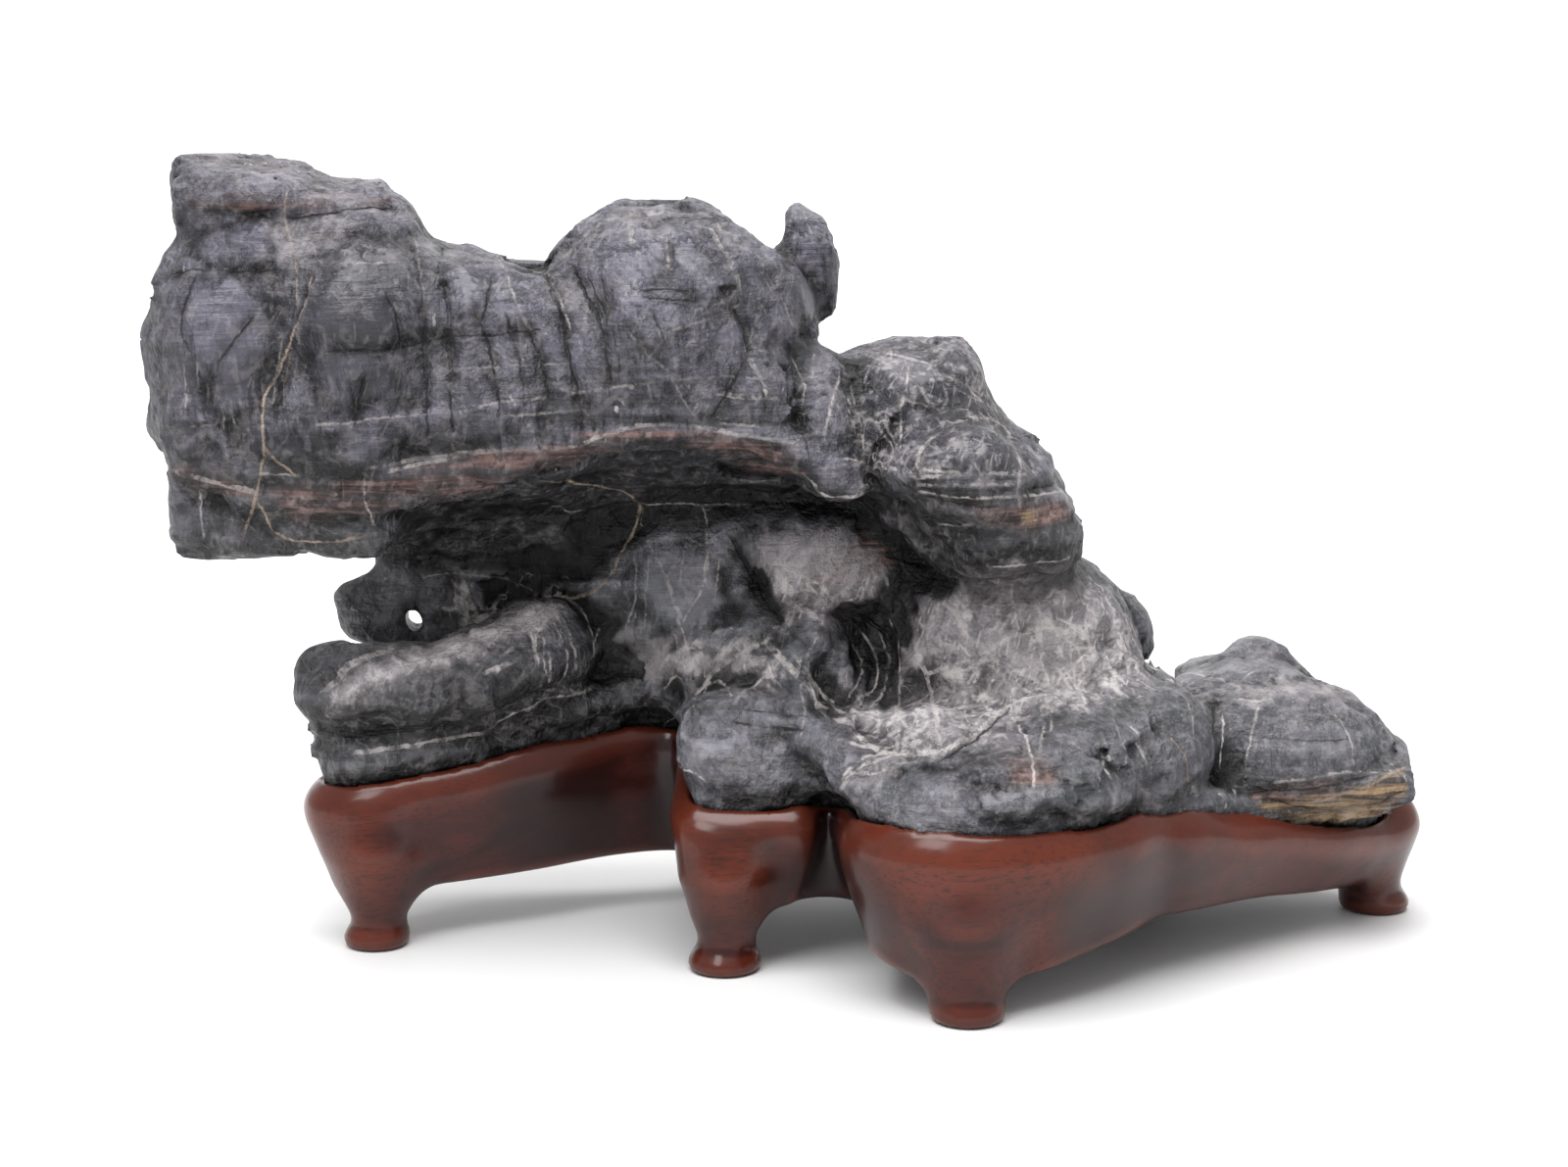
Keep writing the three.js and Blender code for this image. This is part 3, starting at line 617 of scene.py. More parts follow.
# The beige lip along the foot of the crest, as the height it has at each x.
lip_x = [-245, -200, -152, -141, -115, -80, -58, -44, -29, -8, 3, 18, 46, 70, 100]
lip_z = [190, 190, 191, 197, 204, 206, 212, 212, 207, 199, 189, 184, 178, 176, 176]


# Small swellings and dents of the outline: pixel, y of the spot, radius and height in mm.
swellings = [
    (200, 158, 0, 14, 4), (158, 265, -5, 15, -6.5), (150, 400, -5, 16, -3), (163, 466, -5, 9, -3),
    (176, 556, 5, 12, 4), (250, 570, 0, 20, 2.5), (412, 212, 5, 14, 2.2), (478, 254, 5, 5, 3),
    (510, 262, 5, 16, 3), (810, 216, 30, 5, 3.5), (838, 226, 30, 7, 2.5), (790, 242, 30, 7, -3.5),
    (854, 300, 32, 12, -2.5), (840, 346, 32, 10, -7), (856, 362, 0, 9, 4), (972, 350, 5, 14, 2.4),
    (1018, 410, 5, 10, -2), (1104, 530, -5, 12, -3.5), (1142, 598, 40, 12, -2), (1186, 676, 60, 16, 6),
    (1278, 660, 55, 14, 2.4), (1334, 668, 55, 12, -5), (1434, 765, 25, 7, 6), (1440, 805, 25, 12, -4),
    (374, 577, 50, 8, -4), (348, 604, 50, 6, 4), (368, 640, 50, 6, 3), (309, 672, -2, 8, 3.5),
    (312, 705, -5, 12, 2.5), (320, 762, 5, 10, 6), (846, 440, -22, 12, 6), (868, 478, -28, 10, 6),
    (838, 505, -30, 8, -3),
]


def sighted(u, v, y):
    """The point of a pixel's line of sight that lies at y."""
    ray = sight.T @ [(u - 800) / focal, 1, (595.5 - v) / focal]
    return eye + ray * (y - eye[1]) / ray[1]


def inside_window(points):
    """Distance in mm into the small slanting hole worn through the thin wall of the cave."""
    middle, half_wide, half_tall = np.array([-158.84, 49.98, 121.0]), 3.0, 4.6
    turn, climb, half_deep = math.radians(-20), 0.087, 25
    x, y, z = (points - middle).T
    across_it = math.cos(turn) * x - math.sin(turn) * z
    along_it = math.sin(turn) * x + math.cos(turn) * z - climb * y
    outside = half_wide * (np.hypot(across_it / half_wide, along_it / half_tall) - 1)
    return -np.where(np.abs(y) < half_deep, outside, reach)


def relief(points, normals):
    """How far, in mm, the real surface stands proud of the softened solid at points near it."""
    x, y, z = (np.ascontiguousarray(v, dtype=np.float32) for v in points.T)
    over_lip = z - np.interp(x, lip_x, lip_z)
    warp = 5 * cloud(x, y, z, 60) + 1.6 * cloud(x, y, z, 19, 3.0)

    # broken flat faces, larger and smaller, then fine pitting
    rough = 0.5 + 0.5 * ease(cloud(x, y, z, 55, 9.1), -0.3, 0.4)
    up = rough * (3.2 * plates(x + warp, y, z * 1.2, 30) + 1.8 * plates(x, y + warp, z * 1.3, 12))
    up += 0.7 * cloud(x, y, z, 15, 5.5) + 0.4 * cloud(x, y, z, 6.5, 2.2)

    # beds: low steps that follow the layering, strongest at the lip, the shoulder and the tail
    bed = z + 0.6 * warp - 0.03 * x
    beds = cloud(x * 0.07, y * 0.07, bed, 7.0, 4.4) + 0.5 * cloud(x * 0.07, y * 0.07, bed, 3.9, 6.1)
    shoulder = within(x, 20, 110, 8) * within(z, 168, 194, 4)
    cap = within(x, -240, -150, 8) * ease(z, 284, 290)
    tail = ease(x, 150, 180) * (1 - ease(z, 66, 78))
    foot = within(x, -200, -60, 10) * (1 - ease(z, 88, 96))
    layered = 0.3 + 1.5 * within(over_lip, -16, 6, 5) * ease(x, -240, -200) + 1.6 * shoulder
    layered = layered + 1.0 * cap + 2.0 * tail + 0.9 * foot
    up += 0.8 * layered * beds

    # the worn faces keep a thin skin that the rest has lost
    skin = outlined(smooth_faces, points, normals)
    skin = skin + 1.5 * cloud(x, y, z, 9, 1.1)
    kept = ease(skin, 0.0, 2.5)
    up = up * (1 - 0.75 * kept) + 0.9 * kept

    # crescents in the gutter under the bulb
    ring = np.hypot(x + 6, (z - 116) * 1.15)
    gutter = within(x, 4, 42, 6) * within(z, 96, 142, 6) * within(y, -50, 10, 8)
    up += 0.8 * gutter * np.sin(ring * 0.9 + 0.8 * cloud(x, y, z, 15))

    # the dark knob low on the head, and chips along the cap
    pixels = shown(points)[0]
    knob = np.hypot((pixels[:, 0] - 305) / 20, (pixels[:, 1] - 412) / 32)
    up += 2.6 * (1 - ease(knob, 0.5, 1.1)) * (y < 0)
    up += 1.2 * cap * cloud(x, y, z, 5.2, 9.3)

    # swellings and dents
    for u, v, depth, radius, height in swellings:
        square = (((points - sighted(u, v, depth)) * (1, 0.45, 1)) ** 2).sum(axis=1)
        up += height * np.exp(-square / radius**2)

    # open cracks and wrinkles
    for width, strength, line in crack_lines:
        chosen, signed, inside = across(line, points, normals, 10.0)
        groove = np.exp(-((signed / (0.75 * width + 0.9)) ** 2))
        up[chosen] -= (0.55 * width + 0.4) * strength * groove * inside
    return up


def in_one_piece(points, quads, triangles):
    """The same surface without the crumbs that hang free of its largest part."""
    sides = [faces[:, [i, i - 1]] for faces in (quads, triangles) for i in range(faces.shape[1])]
    sides = np.concatenate(sides).astype(int)
    part = np.arange(len(points))
    while True:
        least = part[sides].min(axis=1)
        joined = part.copy()
        np.minimum.at(joined, part[sides[:, 0]], least)
        np.minimum.at(joined, part[sides[:, 1]], least)
        joined = joined[joined]
        if np.array_equal(joined, part):
            break
        part = joined
    kept = part == np.bincount(part).argmax()
    number = np.cumsum(kept) - 1
    return points[kept], *(number[faces[kept[faces[:, 0]]]] for faces in (quads, triangles))


def meshed(name, field):
    """The surface where the field is zero, as an object with smooth faces that point outwards."""
    grid = vdb.FloatGrid(reach)
    grid.copyFromArray(field, ijk=tuple(int(i) for i in first))
    grid.transform = vdb.createLinearTransform(step)
    points, triangles, quads = grid.convertToPolygons()
    points, quads, triangles = in_one_piece(points.astype(float), quads, triangles)
    for _ in range(3):
        here = sampled(field, points)
        lean = np.stack([(sampled(field, points + d) - here) / 0.6 for d in np.eye(3) * 0.6], axis=1)
        square = np.maximum((lean**2).sum(axis=1), 0.25)
        points -= np.clip(here / square, -0.4, 0.4)[:, None] * lean
    low, high = np.array(cad_low) * 1000 + 0.05, np.array(cad_high) * 1000 - 0.05
    points = np.clip(points, low, high)
    mesh = bpy.data.meshes.new(name)
    faces = [tuple(f) for f in quads.tolist()] + [tuple(f) for f in triangles.tolist()]
    mesh.from_pydata((points / 1000).tolist(), [], faces)
    mesh.polygons.foreach_set("use_smooth", [True] * len(mesh.polygons))
    mesh.update()
    piece = bpy.data.objects.new(name, mesh)
    bpy.context.scene.collection.objects.link(piece)
    return piece


def thinned(piece, triangles):
    """Fewer faces where the surface is flattest, until about so many triangles are left."""
    count = sum(len(p.vertices) - 2 for p in piece.data.polygons)
    if count <= triangles:
        return
    fewer = piece.modifiers.new("fewer", "DECIMATE")
    fewer.ratio = triangles / count
    fewer.use_collapse_triangulate = True
    seen = piece.evaluated_get(bpy.context.evaluated_depsgraph_get())
    mesh = bpy.data.meshes.new_from_object(seen)
    piece.modifiers.remove(fewer)
    welded = bmesh.new()
    welded.from_mesh(mesh)
    bmesh.ops.remove_doubles(welded, verts=welded.verts, dist=2e-5)
    welded.to_mesh(mesh)
    welded.free()
    piece.data = mesh
    mesh.polygons.foreach_set("use_smooth", [True] * len(mesh.polygons))


def leaning(field, points):
    """Unit vectors out of the surface at points in mm."""
    lean = np.stack([sampled(field, points + d) - sampled(field, points - d) for d in np.eye(3)], axis=1)
    return lean / np.maximum(np.linalg.norm(lean, axis=1), 1e-6)[:, None]


def vertices_of(piece):
    """The piece's vertices in mm."""
    points = np.empty(len(piece.data.vertices) * 3, np.float32)
    piece.data.vertices.foreach_get("co", points)
    return points.reshape(-1, 3).astype(float) * 1000


def note(piece, name, values):
    """Stores a number, or three, for each vertex, for the finish to read."""
    values = np.asarray(values, np.float32)
    if values.ndim == 2:
        piece.data.attributes.new(name, "FLOAT_VECTOR", "POINT").data.foreach_set("vector", values.ravel())
    else:
        piece.data.attributes.new(name, "FLOAT", "POINT").data.foreach_set("value", values)


stone_field = softened(distance_to(stone_points, stone_corners), 3)
near = np.nonzero(np.abs(stone_field) < reach - 3)
spots = np.stack([(n + f) * step for n, f in zip(near, first)], axis=1)
normals = np.stack([slope[near] for slope in np.gradient(stone_field)], axis=1)
normals /= np.maximum(np.linalg.norm(normals, axis=1), 1e-6)[:, None]
stone_field[near] -= relief(spots, normals)
stone_field[near] = np.maximum(stone_field[near], inside_window(spots))
stone = meshed("stone_rock", stone_field)
thinned(stone, 195000)

spots = vertices_of(stone)
wide = softened(stone_field, near_blur)
normals = leaning(wide, spots)
note(stone, "hollow", np.clip(-sampled(wide, spots) / 2.2, -1, 1))
wider = softened(wide, far_blur)
note(stone, "shelter", np.clip(-sampled(wider, spots) / 6.0, -1, 1))
for name, patches, soft in (
    ("worn", smooth_faces, 6.0),
    ("dusty", dusty_patches, 6.0),
    ("hazy", hazy_patches, 12.0),
    ("brown", brown_patches, 6.0),
    ("ochre", ochre_patches, 6.0),
    # patches painted darker
    ("darkened", darkened_patches, 12.0),
    # patches of painted sheen
    ("painted_sheen", painted_sheen_patches, 12.0),
):
    note(stone, name, outlined(patches, spots, normals, soft))


def in_sets(lines):
    """The lines in as few sets as keep the lines of a set well apart."""
    sets = []
    for line in lines:
        for group in sets:
            apart = [np.linalg.norm(line[2][:, None] - other[2][None], axis=2).min() for other in group]
            if min(apart) > 9 + line[0]:
                group.append(line)
                break
        else:
            sets.append([line])
    return sets


def note_lines(piece, name, lines):
    """Notes sets of lines on the vertices: distance across, strength, and half the width, in mm."""
    sets = in_sets(lines)
    for i, group in enumerate(sets):
        values = np.tile([10.0, 0.0, 0.5], (len(spots), 1))
        for width, strength, line in group:
            chosen, signed, inside = across(line, spots, normals, 10.0)
            closer = np.abs(signed) < np.abs(values[chosen, 0])
            chosen, signed, inside = chosen[closer], signed[closer], inside[closer]
            fade = 1 - ease(np.abs(signed), width / 2 + 2, width / 2 + 4)
            values[chosen] = np.stack([signed, strength * inside * fade, width / 2 + 0 * signed], axis=1)
        note(piece, f"{name}_{i}", values)
    return [f"{name}_{i}" for i in range(len(sets))]


vein_sets = note_lines(stone, "vein", vein_lines)
pale_sets = note_lines(stone, "pale", pale_traces)
crack_sets = note_lines(stone, "crack", crack_lines)


def adder(tree):
    """A short way to add a shader node: its kind, its settings, and what goes into its inputs."""

    def add(kind, feeds=(), **settings):
        node = tree.nodes.new("ShaderNode" + kind)
        for key, value in settings.items():
            setattr(node, key, value)
        for key, value in dict(feeds).items():
            if isinstance(value, bpy.types.NodeSocket):
                tree.links.new(value, node.inputs[key])
            else:
                node.inputs[key].default_value = value
        return node

    return add


def calculator(add):
    """Arithmetic on sockets: calc("MULTIPLY", a, b) gives the socket of the answer."""

    def calc(what, a, b=0.0, c=0.0):
        return add("Math", {0: a, 1: b, 2: c}, operation=what).outputs[0]

    return calc


def spread(add, value, low, high, out_low=0.0, out_high=1.0):
    """The value eased from low..high to out_low..out_high."""
    feeds = {"Value": value, "From Min": low, "From Max": high, "To Min": out_low, "To Max": out_high}
    return add("MapRange", feeds, interpolation_type="SMOOTHSTEP").outputs[0]


def tinted(add, share, under, over):
    """The colour `over` laid on `under` by share."""
    return add("Mix", {0: share, 6: under, 7: over}, data_type="RGBA").outputs[2]


def grain(add, place, scale, detail=4.0, rough=0.55, warp=0.0):
    """Noise from 0 to 1 with so many lumps to the metre."""
    feeds = {"Vector": place, "Scale": scale, "Detail": detail, "Roughness": rough, "Distortion": warp}
    return add("TexNoise", feeds).outputs[0]


def streaked(add, place, scales, turn=(0.0, 0.0, 0.0)):
    """The place turned and stretched, so that a noise read there runs in streaks."""
    turned = add("Mapping", {"Vector": place, "Rotation": turn}).outputs[0]
    return add("Mapping", {"Vector": turned, "Scale": scales}).outputs[0]


def noted(add, name):
    """A number that was noted on the vertices."""
    return add("Attribute", attribute_name=name).outputs["Fac"]


def drawn(add, calc, sets, wobble, slim, soft=0.25):
    """1 on the noted lines and 0 away from them, slimmed, with edges that waver by wobble, in mm."""
    total = 0.0
    for name in sets:
        parts = add("SeparateXYZ", {0: add("Attribute", attribute_name=name).outputs["Vector"]}).outputs
        half = calc("MULTIPLY", parts[2], slim)
        over = calc("SUBTRACT", calc("ABSOLUTE", calc("ADD", parts[0], wobble)), half)
        on = calc("MULTIPLY", spread(add, over, -soft, soft, 1.0, 0.0), parts[1])
        total = calc("MAXIMUM", total, on)
    return total


def seam(add, calc, noise, thin):
    """1 along the line where a noise crosses its middle, 0 away from it."""
    return spread(add, calc("ABSOLUTE", calc("SUBTRACT", noise, 0.5)), 0.0, thin, 1.0, 0.0)


def mixed(add, share, under, over):
    """The number `over` laid on `under` by share."""
    return add("Mix", {0: share, 2: under, 3: over}, data_type="FLOAT").outputs[0]


def product(calc, first, *others):
    """The factors multiplied in order."""
    for other in others:
        first = calc("MULTIPLY", first, other)
    return first


def rock_finish():
    """Charcoal limestone with a satin rub, brown under the lip, dusty on top, veined and scarred, with
    painted shade in its hollows, cave and undersides and painted sheen on some faces.
    """
    material = bpy.data.materials.new("weathered_limestone")
    material.use_nodes = True
    tree = material.node_tree
    shader = tree.nodes["Principled BSDF"]
    add = adder(tree)
    calc = calculator(add)

    def even(noise, tall):
        """The noise moved to lie evenly about 0, made so tall."""
        return calc("MULTIPLY", calc("SUBTRACT", noise, 0.5), tall)

    def without(share, most=1.0):
        """What is left of 1 when that much of a share is taken away."""
        return calc("SUBTRACT", 1.0, calc("MULTIPLY", share, most))

    place = add("TexCoord").outputs["Object"]
    x, y, z = add("SeparateXYZ", {0: place}).outputs
    backward, upward = add("SeparateXYZ", {0: add("NewGeometry").outputs["Normal"]}).outputs[1:]
    hollow = noted(add, "hollow")

    # noises, coarse to fine: lumps, upright strokes, level ripples and the beds of the stone
    broad = grain(add, place, 22, 6, 0.6)
    patchy = grain(add, place, 64, 7, 0.62, 0.3)
    mottle = grain(add, place, 240, 5, 0.62)
    gritty = grain(add, place, 900, 3, 0.6)
    strokes = grain(add, streaked(add, place, (420, 420, 38), (0.0, 0.12, 0.0)), 1.0, 4, 0.65, 0.5)
    ripples = grain(add, streaked(add, place, (38, 38, 420), (0.0, 0.03, 0.0)), 1.0, 4, 0.65, 0.6)
    beds = grain(add, streaked(add, place, (14, 14, 300)), 1.0, 6, 0.7, 0.5)
    fractal = calc("ADD", even(patchy, 1.0), even(mottle, 0.6))
    wobble = even(mottle, 3.0)

    # parts of the stone, by where they lie in metres
    crest = spread(add, z, 0.185, 0.205)
    dome = product(calc, spread(add, x, -0.13, -0.09), spread(add, x, 0.03, 0.0), crest)
    shoulder = product(calc, spread(add, x, 0.0, 0.03), spread(add, z, 0.18, 0.2))
    low = product(calc, spread(add, z, 0.19, 0.13), spread(add, broad, 0.6, 0.4))
    arm = product(calc, spread(add, x, -0.05, -0.065), spread(add, z, 0.124, 0.112))
    left = spread(add, x, -0.03, -0.06)
    bare = without(product(calc, left, spread(add, y, 0.005, 0.03)))
    rear = product(calc, spread(add, y, 0.0, 0.03), spread(add, backward, -0.1, 0.3))
    cave = product(calc, spread(add, noted(add, "shelter"), 0.0, 0.4), spread(add, y, -0.045, -0.012))
    outside = spread(add, cave, 0.6, 0.1)

    # scalloped chips with sharp ridges between them, drawn out upright
    stray = add("TexNoise", {"Vector": place, "Scale": 70.0, "Detail": 3.0}).outputs[1]
    stray = add("VectorMath", {0: stray, 1: (-0.5, -0.5, -0.5)}, operation="ADD").outputs[0]
    sway = {0: stray, 1: (0.016, 0.016, 0.022), 2: place}
    bent = add("VectorMath", sway, operation="MULTIPLY_ADD").outputs[0]
    chipped = {"Vector": streaked(add, bent, (125, 125, 85)), "Scale": 1.0}
    scallop = add("TexVoronoi", chipped).outputs[0]
    ridge = add("TexVoronoi", chipped, feature="DISTANCE_TO_EDGE").outputs[0]
    small = add("TexVoronoi", {"Vector": streaked(add, bent, (330, 330, 170)), "Scale": 1.0}).outputs[0]

    # worn faces, which fade into the rest
    ragged = calc("ADD", calc("ADD", noted(add, "worn"), even(patchy, 22.0)), even(strokes, 14.0))
    rubbed = spread(add, calc("ADD", broad, calc("MULTIPLY", patchy, 0.5)), 0.66, 0.84, 0.0, 0.8)
    worn = calc("MAXIMUM", spread(add, ragged, -6.0, 5.0), rubbed)
    lively = without(worn, 0.75)

    # fine dark creases, and open pores between the worn faces
    creases = calc("MULTIPLY", seam(add, calc, patchy, 0.028), spread(add, broad, 0.45, 0.58))
    creases = calc("MAXIMUM", creases, calc("MULTIPLY", spread(add, strokes, 0.36, 0.30), crest))
    creases = calc("MAXIMUM", creases, spread(add, ripples, 0.33, 0.27, 0.0, 0.7))
    creases = calc("MULTIPLY", creases, lively)

    # how light the bare stone is: the noises, the darkened patches, the patches of painted sheen, and
    # painted shade in the hollows, the cave and underneath
    charcoal, polished = 0.057, 0.065
    # patches painted darker
    darkened = spread(add, calc("ADD", noted(add, "darkened"), even(patchy, 22.0)), -8.0, 5.0)
    # patches of painted sheen
    painted_sheen = spread(add, calc("ADD", noted(add, "painted_sheen"), even(patchy, 22.0)), -8.0, 5.0)
    light = product(
        calc,
        spread(add, broad, 0.3, 0.7, 0.86, 1.14),
        mixed(add, lively, 1.0, spread(add, patchy, 0.32, 0.68, 0.76, 1.22)),
        mixed(add, lively, 1.0, spread(add, mottle, 0.36, 0.64, 0.78, 1.22)),
        mixed(add, calc("MULTIPLY", lively, crest), 1.0, spread(add, strokes, 0.36, 0.64, 0.68, 1.28)),
        mixed(add, lively, 1.0, spread(add, beds, 0.34, 0.66, 0.74, 1.26)),
        mixed(add, calc("MULTIPLY", worn, 0.5), spread(add, ripples, 0.36, 0.64, 0.74, 1.24), 1.0),
        spread(add, gritty, 0.3, 0.7, 0.88, 1.12),
        mixed(add, worn, charcoal, polished),
        # painted shade in the hollows and painted light on the bulges
        spread(add, hollow, -0.35, 0.5, 1.3, 0.25),
        spread(add, z, 0.19, 0.155, 1.0, 1.11),
        # the patches painted darker
        without(darkened, 0.54),
        # painted sheen, strongest on the crest
        calc("MULTIPLY_ADD", painted_sheen, mixed(add, crest, 0.56, 0.2), 1.0),
        mixed(add, lively, 1.0, spread(add, scallop, 0.1, 0.75, 0.84, 1.2)),
        mixed(add, lively, 1.0, spread(add, small, 0.15, 0.75, 0.86, 1.16)),
        without(creases, 0.82),
        without(arm, 0.3),
        # painted shade in the cave
        without(cave, 0.9),
        # painted shade on the faces that turn down
        without(spread(add, upward, 0.08, -0.5, 0.0, 0.8)),
    )

    # the cast: violet-grey, greener low down, browner in patches
    cast = tinted(add, crest, (1.0, 0.975, 1.12, 1), (1.0, 0.96, 1.19, 1))
    cast = tinted(add, worn, cast, tinted(add, crest, (1.0, 0.97, 1.13, 1), (1.0, 0.955, 1.25, 1)))
    cast = tinted(add, calc("MULTIPLY", low, 0.7), cast, (0.94, 1.0, 1.10, 1))
    cast = tinted(add, spread(add, broad, 0.58, 0.75, 0.0, 0.6), cast, (1.10, 0.97, 0.94, 1))
    colour = add("VectorMath", {0: cast, "Scale": light}, operation="SCALE").outputs[0]

    # brown and ochre stains along the beds, and a brown band round the back
    stain = calc("ADD", even(beds, 16.0), even(patchy, 14.0))
    brown = spread(add, calc("ADD", noted(add, "brown"), stain), -2.5, 4.0, 0.0, 0.88)
    band = product(calc, spread(add, z, 0.172, 0.186), spread(add, z, 0.208, 0.196), rear)
    brown = calc("MAXIMUM", brown, calc("MULTIPLY", band, spread(add, beds, 0.42, 0.6, 0.0, 0.75)))
    soil = tinted(add, spread(add, beds, 0.42, 0.62), (0.026, 0.015, 0.014, 1), (0.21, 0.122, 0.107, 1))
    soil = tinted(add, spread(add, mottle, 0.55, 0.4, 0.0, 0.7), soil, (0.026, 0.020, 0.020, 1))
    colour = tinted(add, brown, colour, soil)
    ochre = spread(add, calc("ADD", noted(add, "ochre"), calc("MULTIPLY", stain, 0.4)), -1.5, 2.0, 0.0, 0.8)
    clay = tinted(add, spread(add, beds, 0.4, 0.6), (0.035, 0.024, 0.018, 1), (0.40, 0.27, 0.15, 1))
    colour = tinted(add, ochre, colour, clay)

    # dust: a smooth film where the stone faces up, heaped in patches, all with a fractal edge
    settled = calc("ADD", upward, calc("MULTIPLY", fractal, 1.5))
    film = spread(add, settled, 0.5, 1.4, 0.0, mixed(add, dome, 0.2, 0.06))
    heaped = calc("ADD", noted(add, "dusty"), calc("MULTIPLY", fractal, 30.0))
    heaped = spread(add, heaped, -3.0, 6.0, 0.0, mixed(add, crest, 0.85, mixed(add, dome, 0.5, 0.24)))
    hazy = calc("ADD", noted(add, "hazy"), calc("MULTIPLY", fractal, 12.0))
    hazy = calc("MULTIPLY", spread(add, hazy, -7.0, 8.0), bare)
    leeward = calc("MULTIPLY", hazy, left)
    wisps = grain(add, streaked(add, bent, (230, 230, 30), (0.0, -0.5, 0.0)), 1.0, 5, 0.6, 0.4)
    wisps = calc("ADD", wisps, calc("MULTIPLY", fractal, 0.15))
    thinnest = mixed(add, leeward, spread(add, z, 0.135, 0.15, 0.28, 0.55), 0.7)
    thick = calc("MULTIPLY", spread(add, wisps, 0.38, 0.62, thinnest, 0.9), hazy)
    dust = product(
        calc,
        calc("MAXIMUM", calc("MAXIMUM", film, calc("MULTIPLY", heaped, bare)), thick),
        spread(add, hollow, 0.25, -0.1, 0.75, 1.0),
        spread(add, gritty, 0.3, 0.6, 0.7, 1.0),
        # little dust in the cave, so that its painted shade stays dark
        spread(add, cave, 0.3, 0.9, 1.0, 0.15),
    )
    grey = tinted(add, patchy, (0.23, 0.212, 0.220, 1), (0.34, 0.315, 0.325, 1))
    grey = tinted(add, hazy, grey, (0.42, 0.385, 0.400, 1))
    grey = tinted(add, leeward, grey, (0.73, 0.675, 0.695, 1))
    colour = tinted(add, dust, colour, grey)

    # pale hairlines: traced ones, and a scatter of finer ones that is dense on slope and shoulder
    pale = product(
        calc,
        drawn(add, calc, pale_sets, wobble, 0.8),
        spread(add, mottle, 0.38, 0.56, 0.12, 1.0),
        spread(add, patchy, 0.38, 0.54, 0.3, 1.0),
    )
    quiet = spread(add, x, 0.03, 0.0, calc("MULTIPLY", crest, 0.6), crest)
    colour = tinted(add, pale, colour, tinted(add, quiet, (0.50, 0.465, 0.455, 1), (0.31, 0.29, 0.285, 1)))
    webbed = calc("MULTIPLY", hazy, spread(add, z, 0.155, 0.145))
    webbed = calc("MAXIMUM", webbed, calc("MULTIPLY", shoulder, 0.4))
    webbed = calc("MAXIMUM", webbed, spread(add, rear, 0.0, 1.0, 0.14, 0.18))
    scratches = 0.0
    for scales, turn, thin in (
        ((14, 14, 70), (0, 0.9, 0), 0.04),
        ((14, 14, 65), (0, -0.8, 0.3), 0.04),
        ((70, 60, 12), (0, 0.1, 0), 0.04),
        ((26, 26, 130), (0.2, 1.25, 0), 0.05),
        ((26, 26, 120), (0, -0.4, 0.5), 0.05),
        ((150, 130, 24), (0, -0.25, 0), 0.06),
    ):
        turned = grain(add, streaked(add, place, scales, turn), 1.0, 1.5, 0.5, 0.5)
        held = spread(add, grain(add, place, 60 + 9 * scales[0] ** 0.5, 2), 0.5, 0.6)
        scratches = calc("MAXIMUM", scratches, calc("MULTIPLY", seam(add, calc, turned, thin), held))
    scratches = product(calc, scratches, spread(add, mottle, 0.35, 0.5), webbed, outside)
    colour = tinted(add, calc("MULTIPLY", scratches, 0.9), colour, (0.55, 0.51, 0.51, 1))

    # ridges rubbed paler between the chips
    rubs = product(
        calc,
        spread(add, ridge, 0.01, 0.075, 1.0, 0.0),
        spread(add, mottle, 0.42, 0.6),
        lively,
        spread(add, upward, -0.45, 0.05),
        outside,
        spread(add, broad, 0.42, 0.58),
    )
    colour = tinted(add, calc("MULTIPLY", rubs, 0.45), colour, (0.27, 0.25, 0.245, 1))

    # bright chips and rubbed strokes, upright on the crest
    flecks = add("TexVoronoi", {"Vector": streaked(add, bent, (420, 420, 150)), "Scale": 1.0}).outputs
    chosen = add("SeparateXYZ", {0: flecks[1]}).outputs[0]
    chips = product(
        calc,
        spread(add, flecks[0], 0.38, 0.25),
        calc("GREATER_THAN", chosen, 0.88),
        spread(add, calc("ADD", patchy, calc("MULTIPLY", worn, -0.2)), 0.44, 0.56),
    )
    streaks = product(calc, spread(add, strokes, 0.66, 0.72), crest, lively, spread(add, broad, 0.45, 0.58))
    bright = calc("MAXIMUM", chips, calc("MULTIPLY", streaks, 0.7))
    bright = product(calc, bright, spread(add, upward, -0.5, 0.0), spread(add, cave, 0.5, 0.0))
    colour = tinted(add, calc("MULTIPLY", bright, 0.75), colour, (0.46, 0.44, 0.42, 1))

    # tan calcite veins: the traced ones, and others at the back
    vein = drawn(add, calc, vein_sets, calc("MULTIPLY", wobble, 0.9), 0.66)
    far = seam(add, calc, grain(add, place, 7.0, 3, 0.5, 0.6), 0.006)
    vein = calc("MAXIMUM", vein, product(calc, far, rear, 0.8))
    vein = calc("MULTIPLY", vein, spread(add, mottle, 0.36, 0.56, 0.18, 0.9))
    colour = tinted(add, vein, colour, tinted(add, patchy, (0.22, 0.15, 0.105, 1), (0.42, 0.35, 0.27, 1)))

    # cracks hold shadow and dirt
    crack = drawn(add, calc, crack_sets, wobble, 0.38, 0.4)
    crack = calc("MULTIPLY", crack, spread(add, patchy, 0.36, 0.54, 0.15, 0.9))
    colour = tinted(add, crack, colour, (0.010, 0.009, 0.010, 1))
    tree.links.new(colour, shader.inputs["Base Color"])

    rough = spread(add, patchy, 0.3, 0.7, 0.40, 0.58)
    rough = mixed(add, worn, rough, 0.36)
    rough = mixed(add, calc("MAXIMUM", dust, pale), rough, 0.9)
    rough = mixed(add, brown, rough, 0.7)
    tree.links.new(rough, shader.inputs["Roughness"])
    shader.inputs["Specular IOR Level"].default_value = 0.44

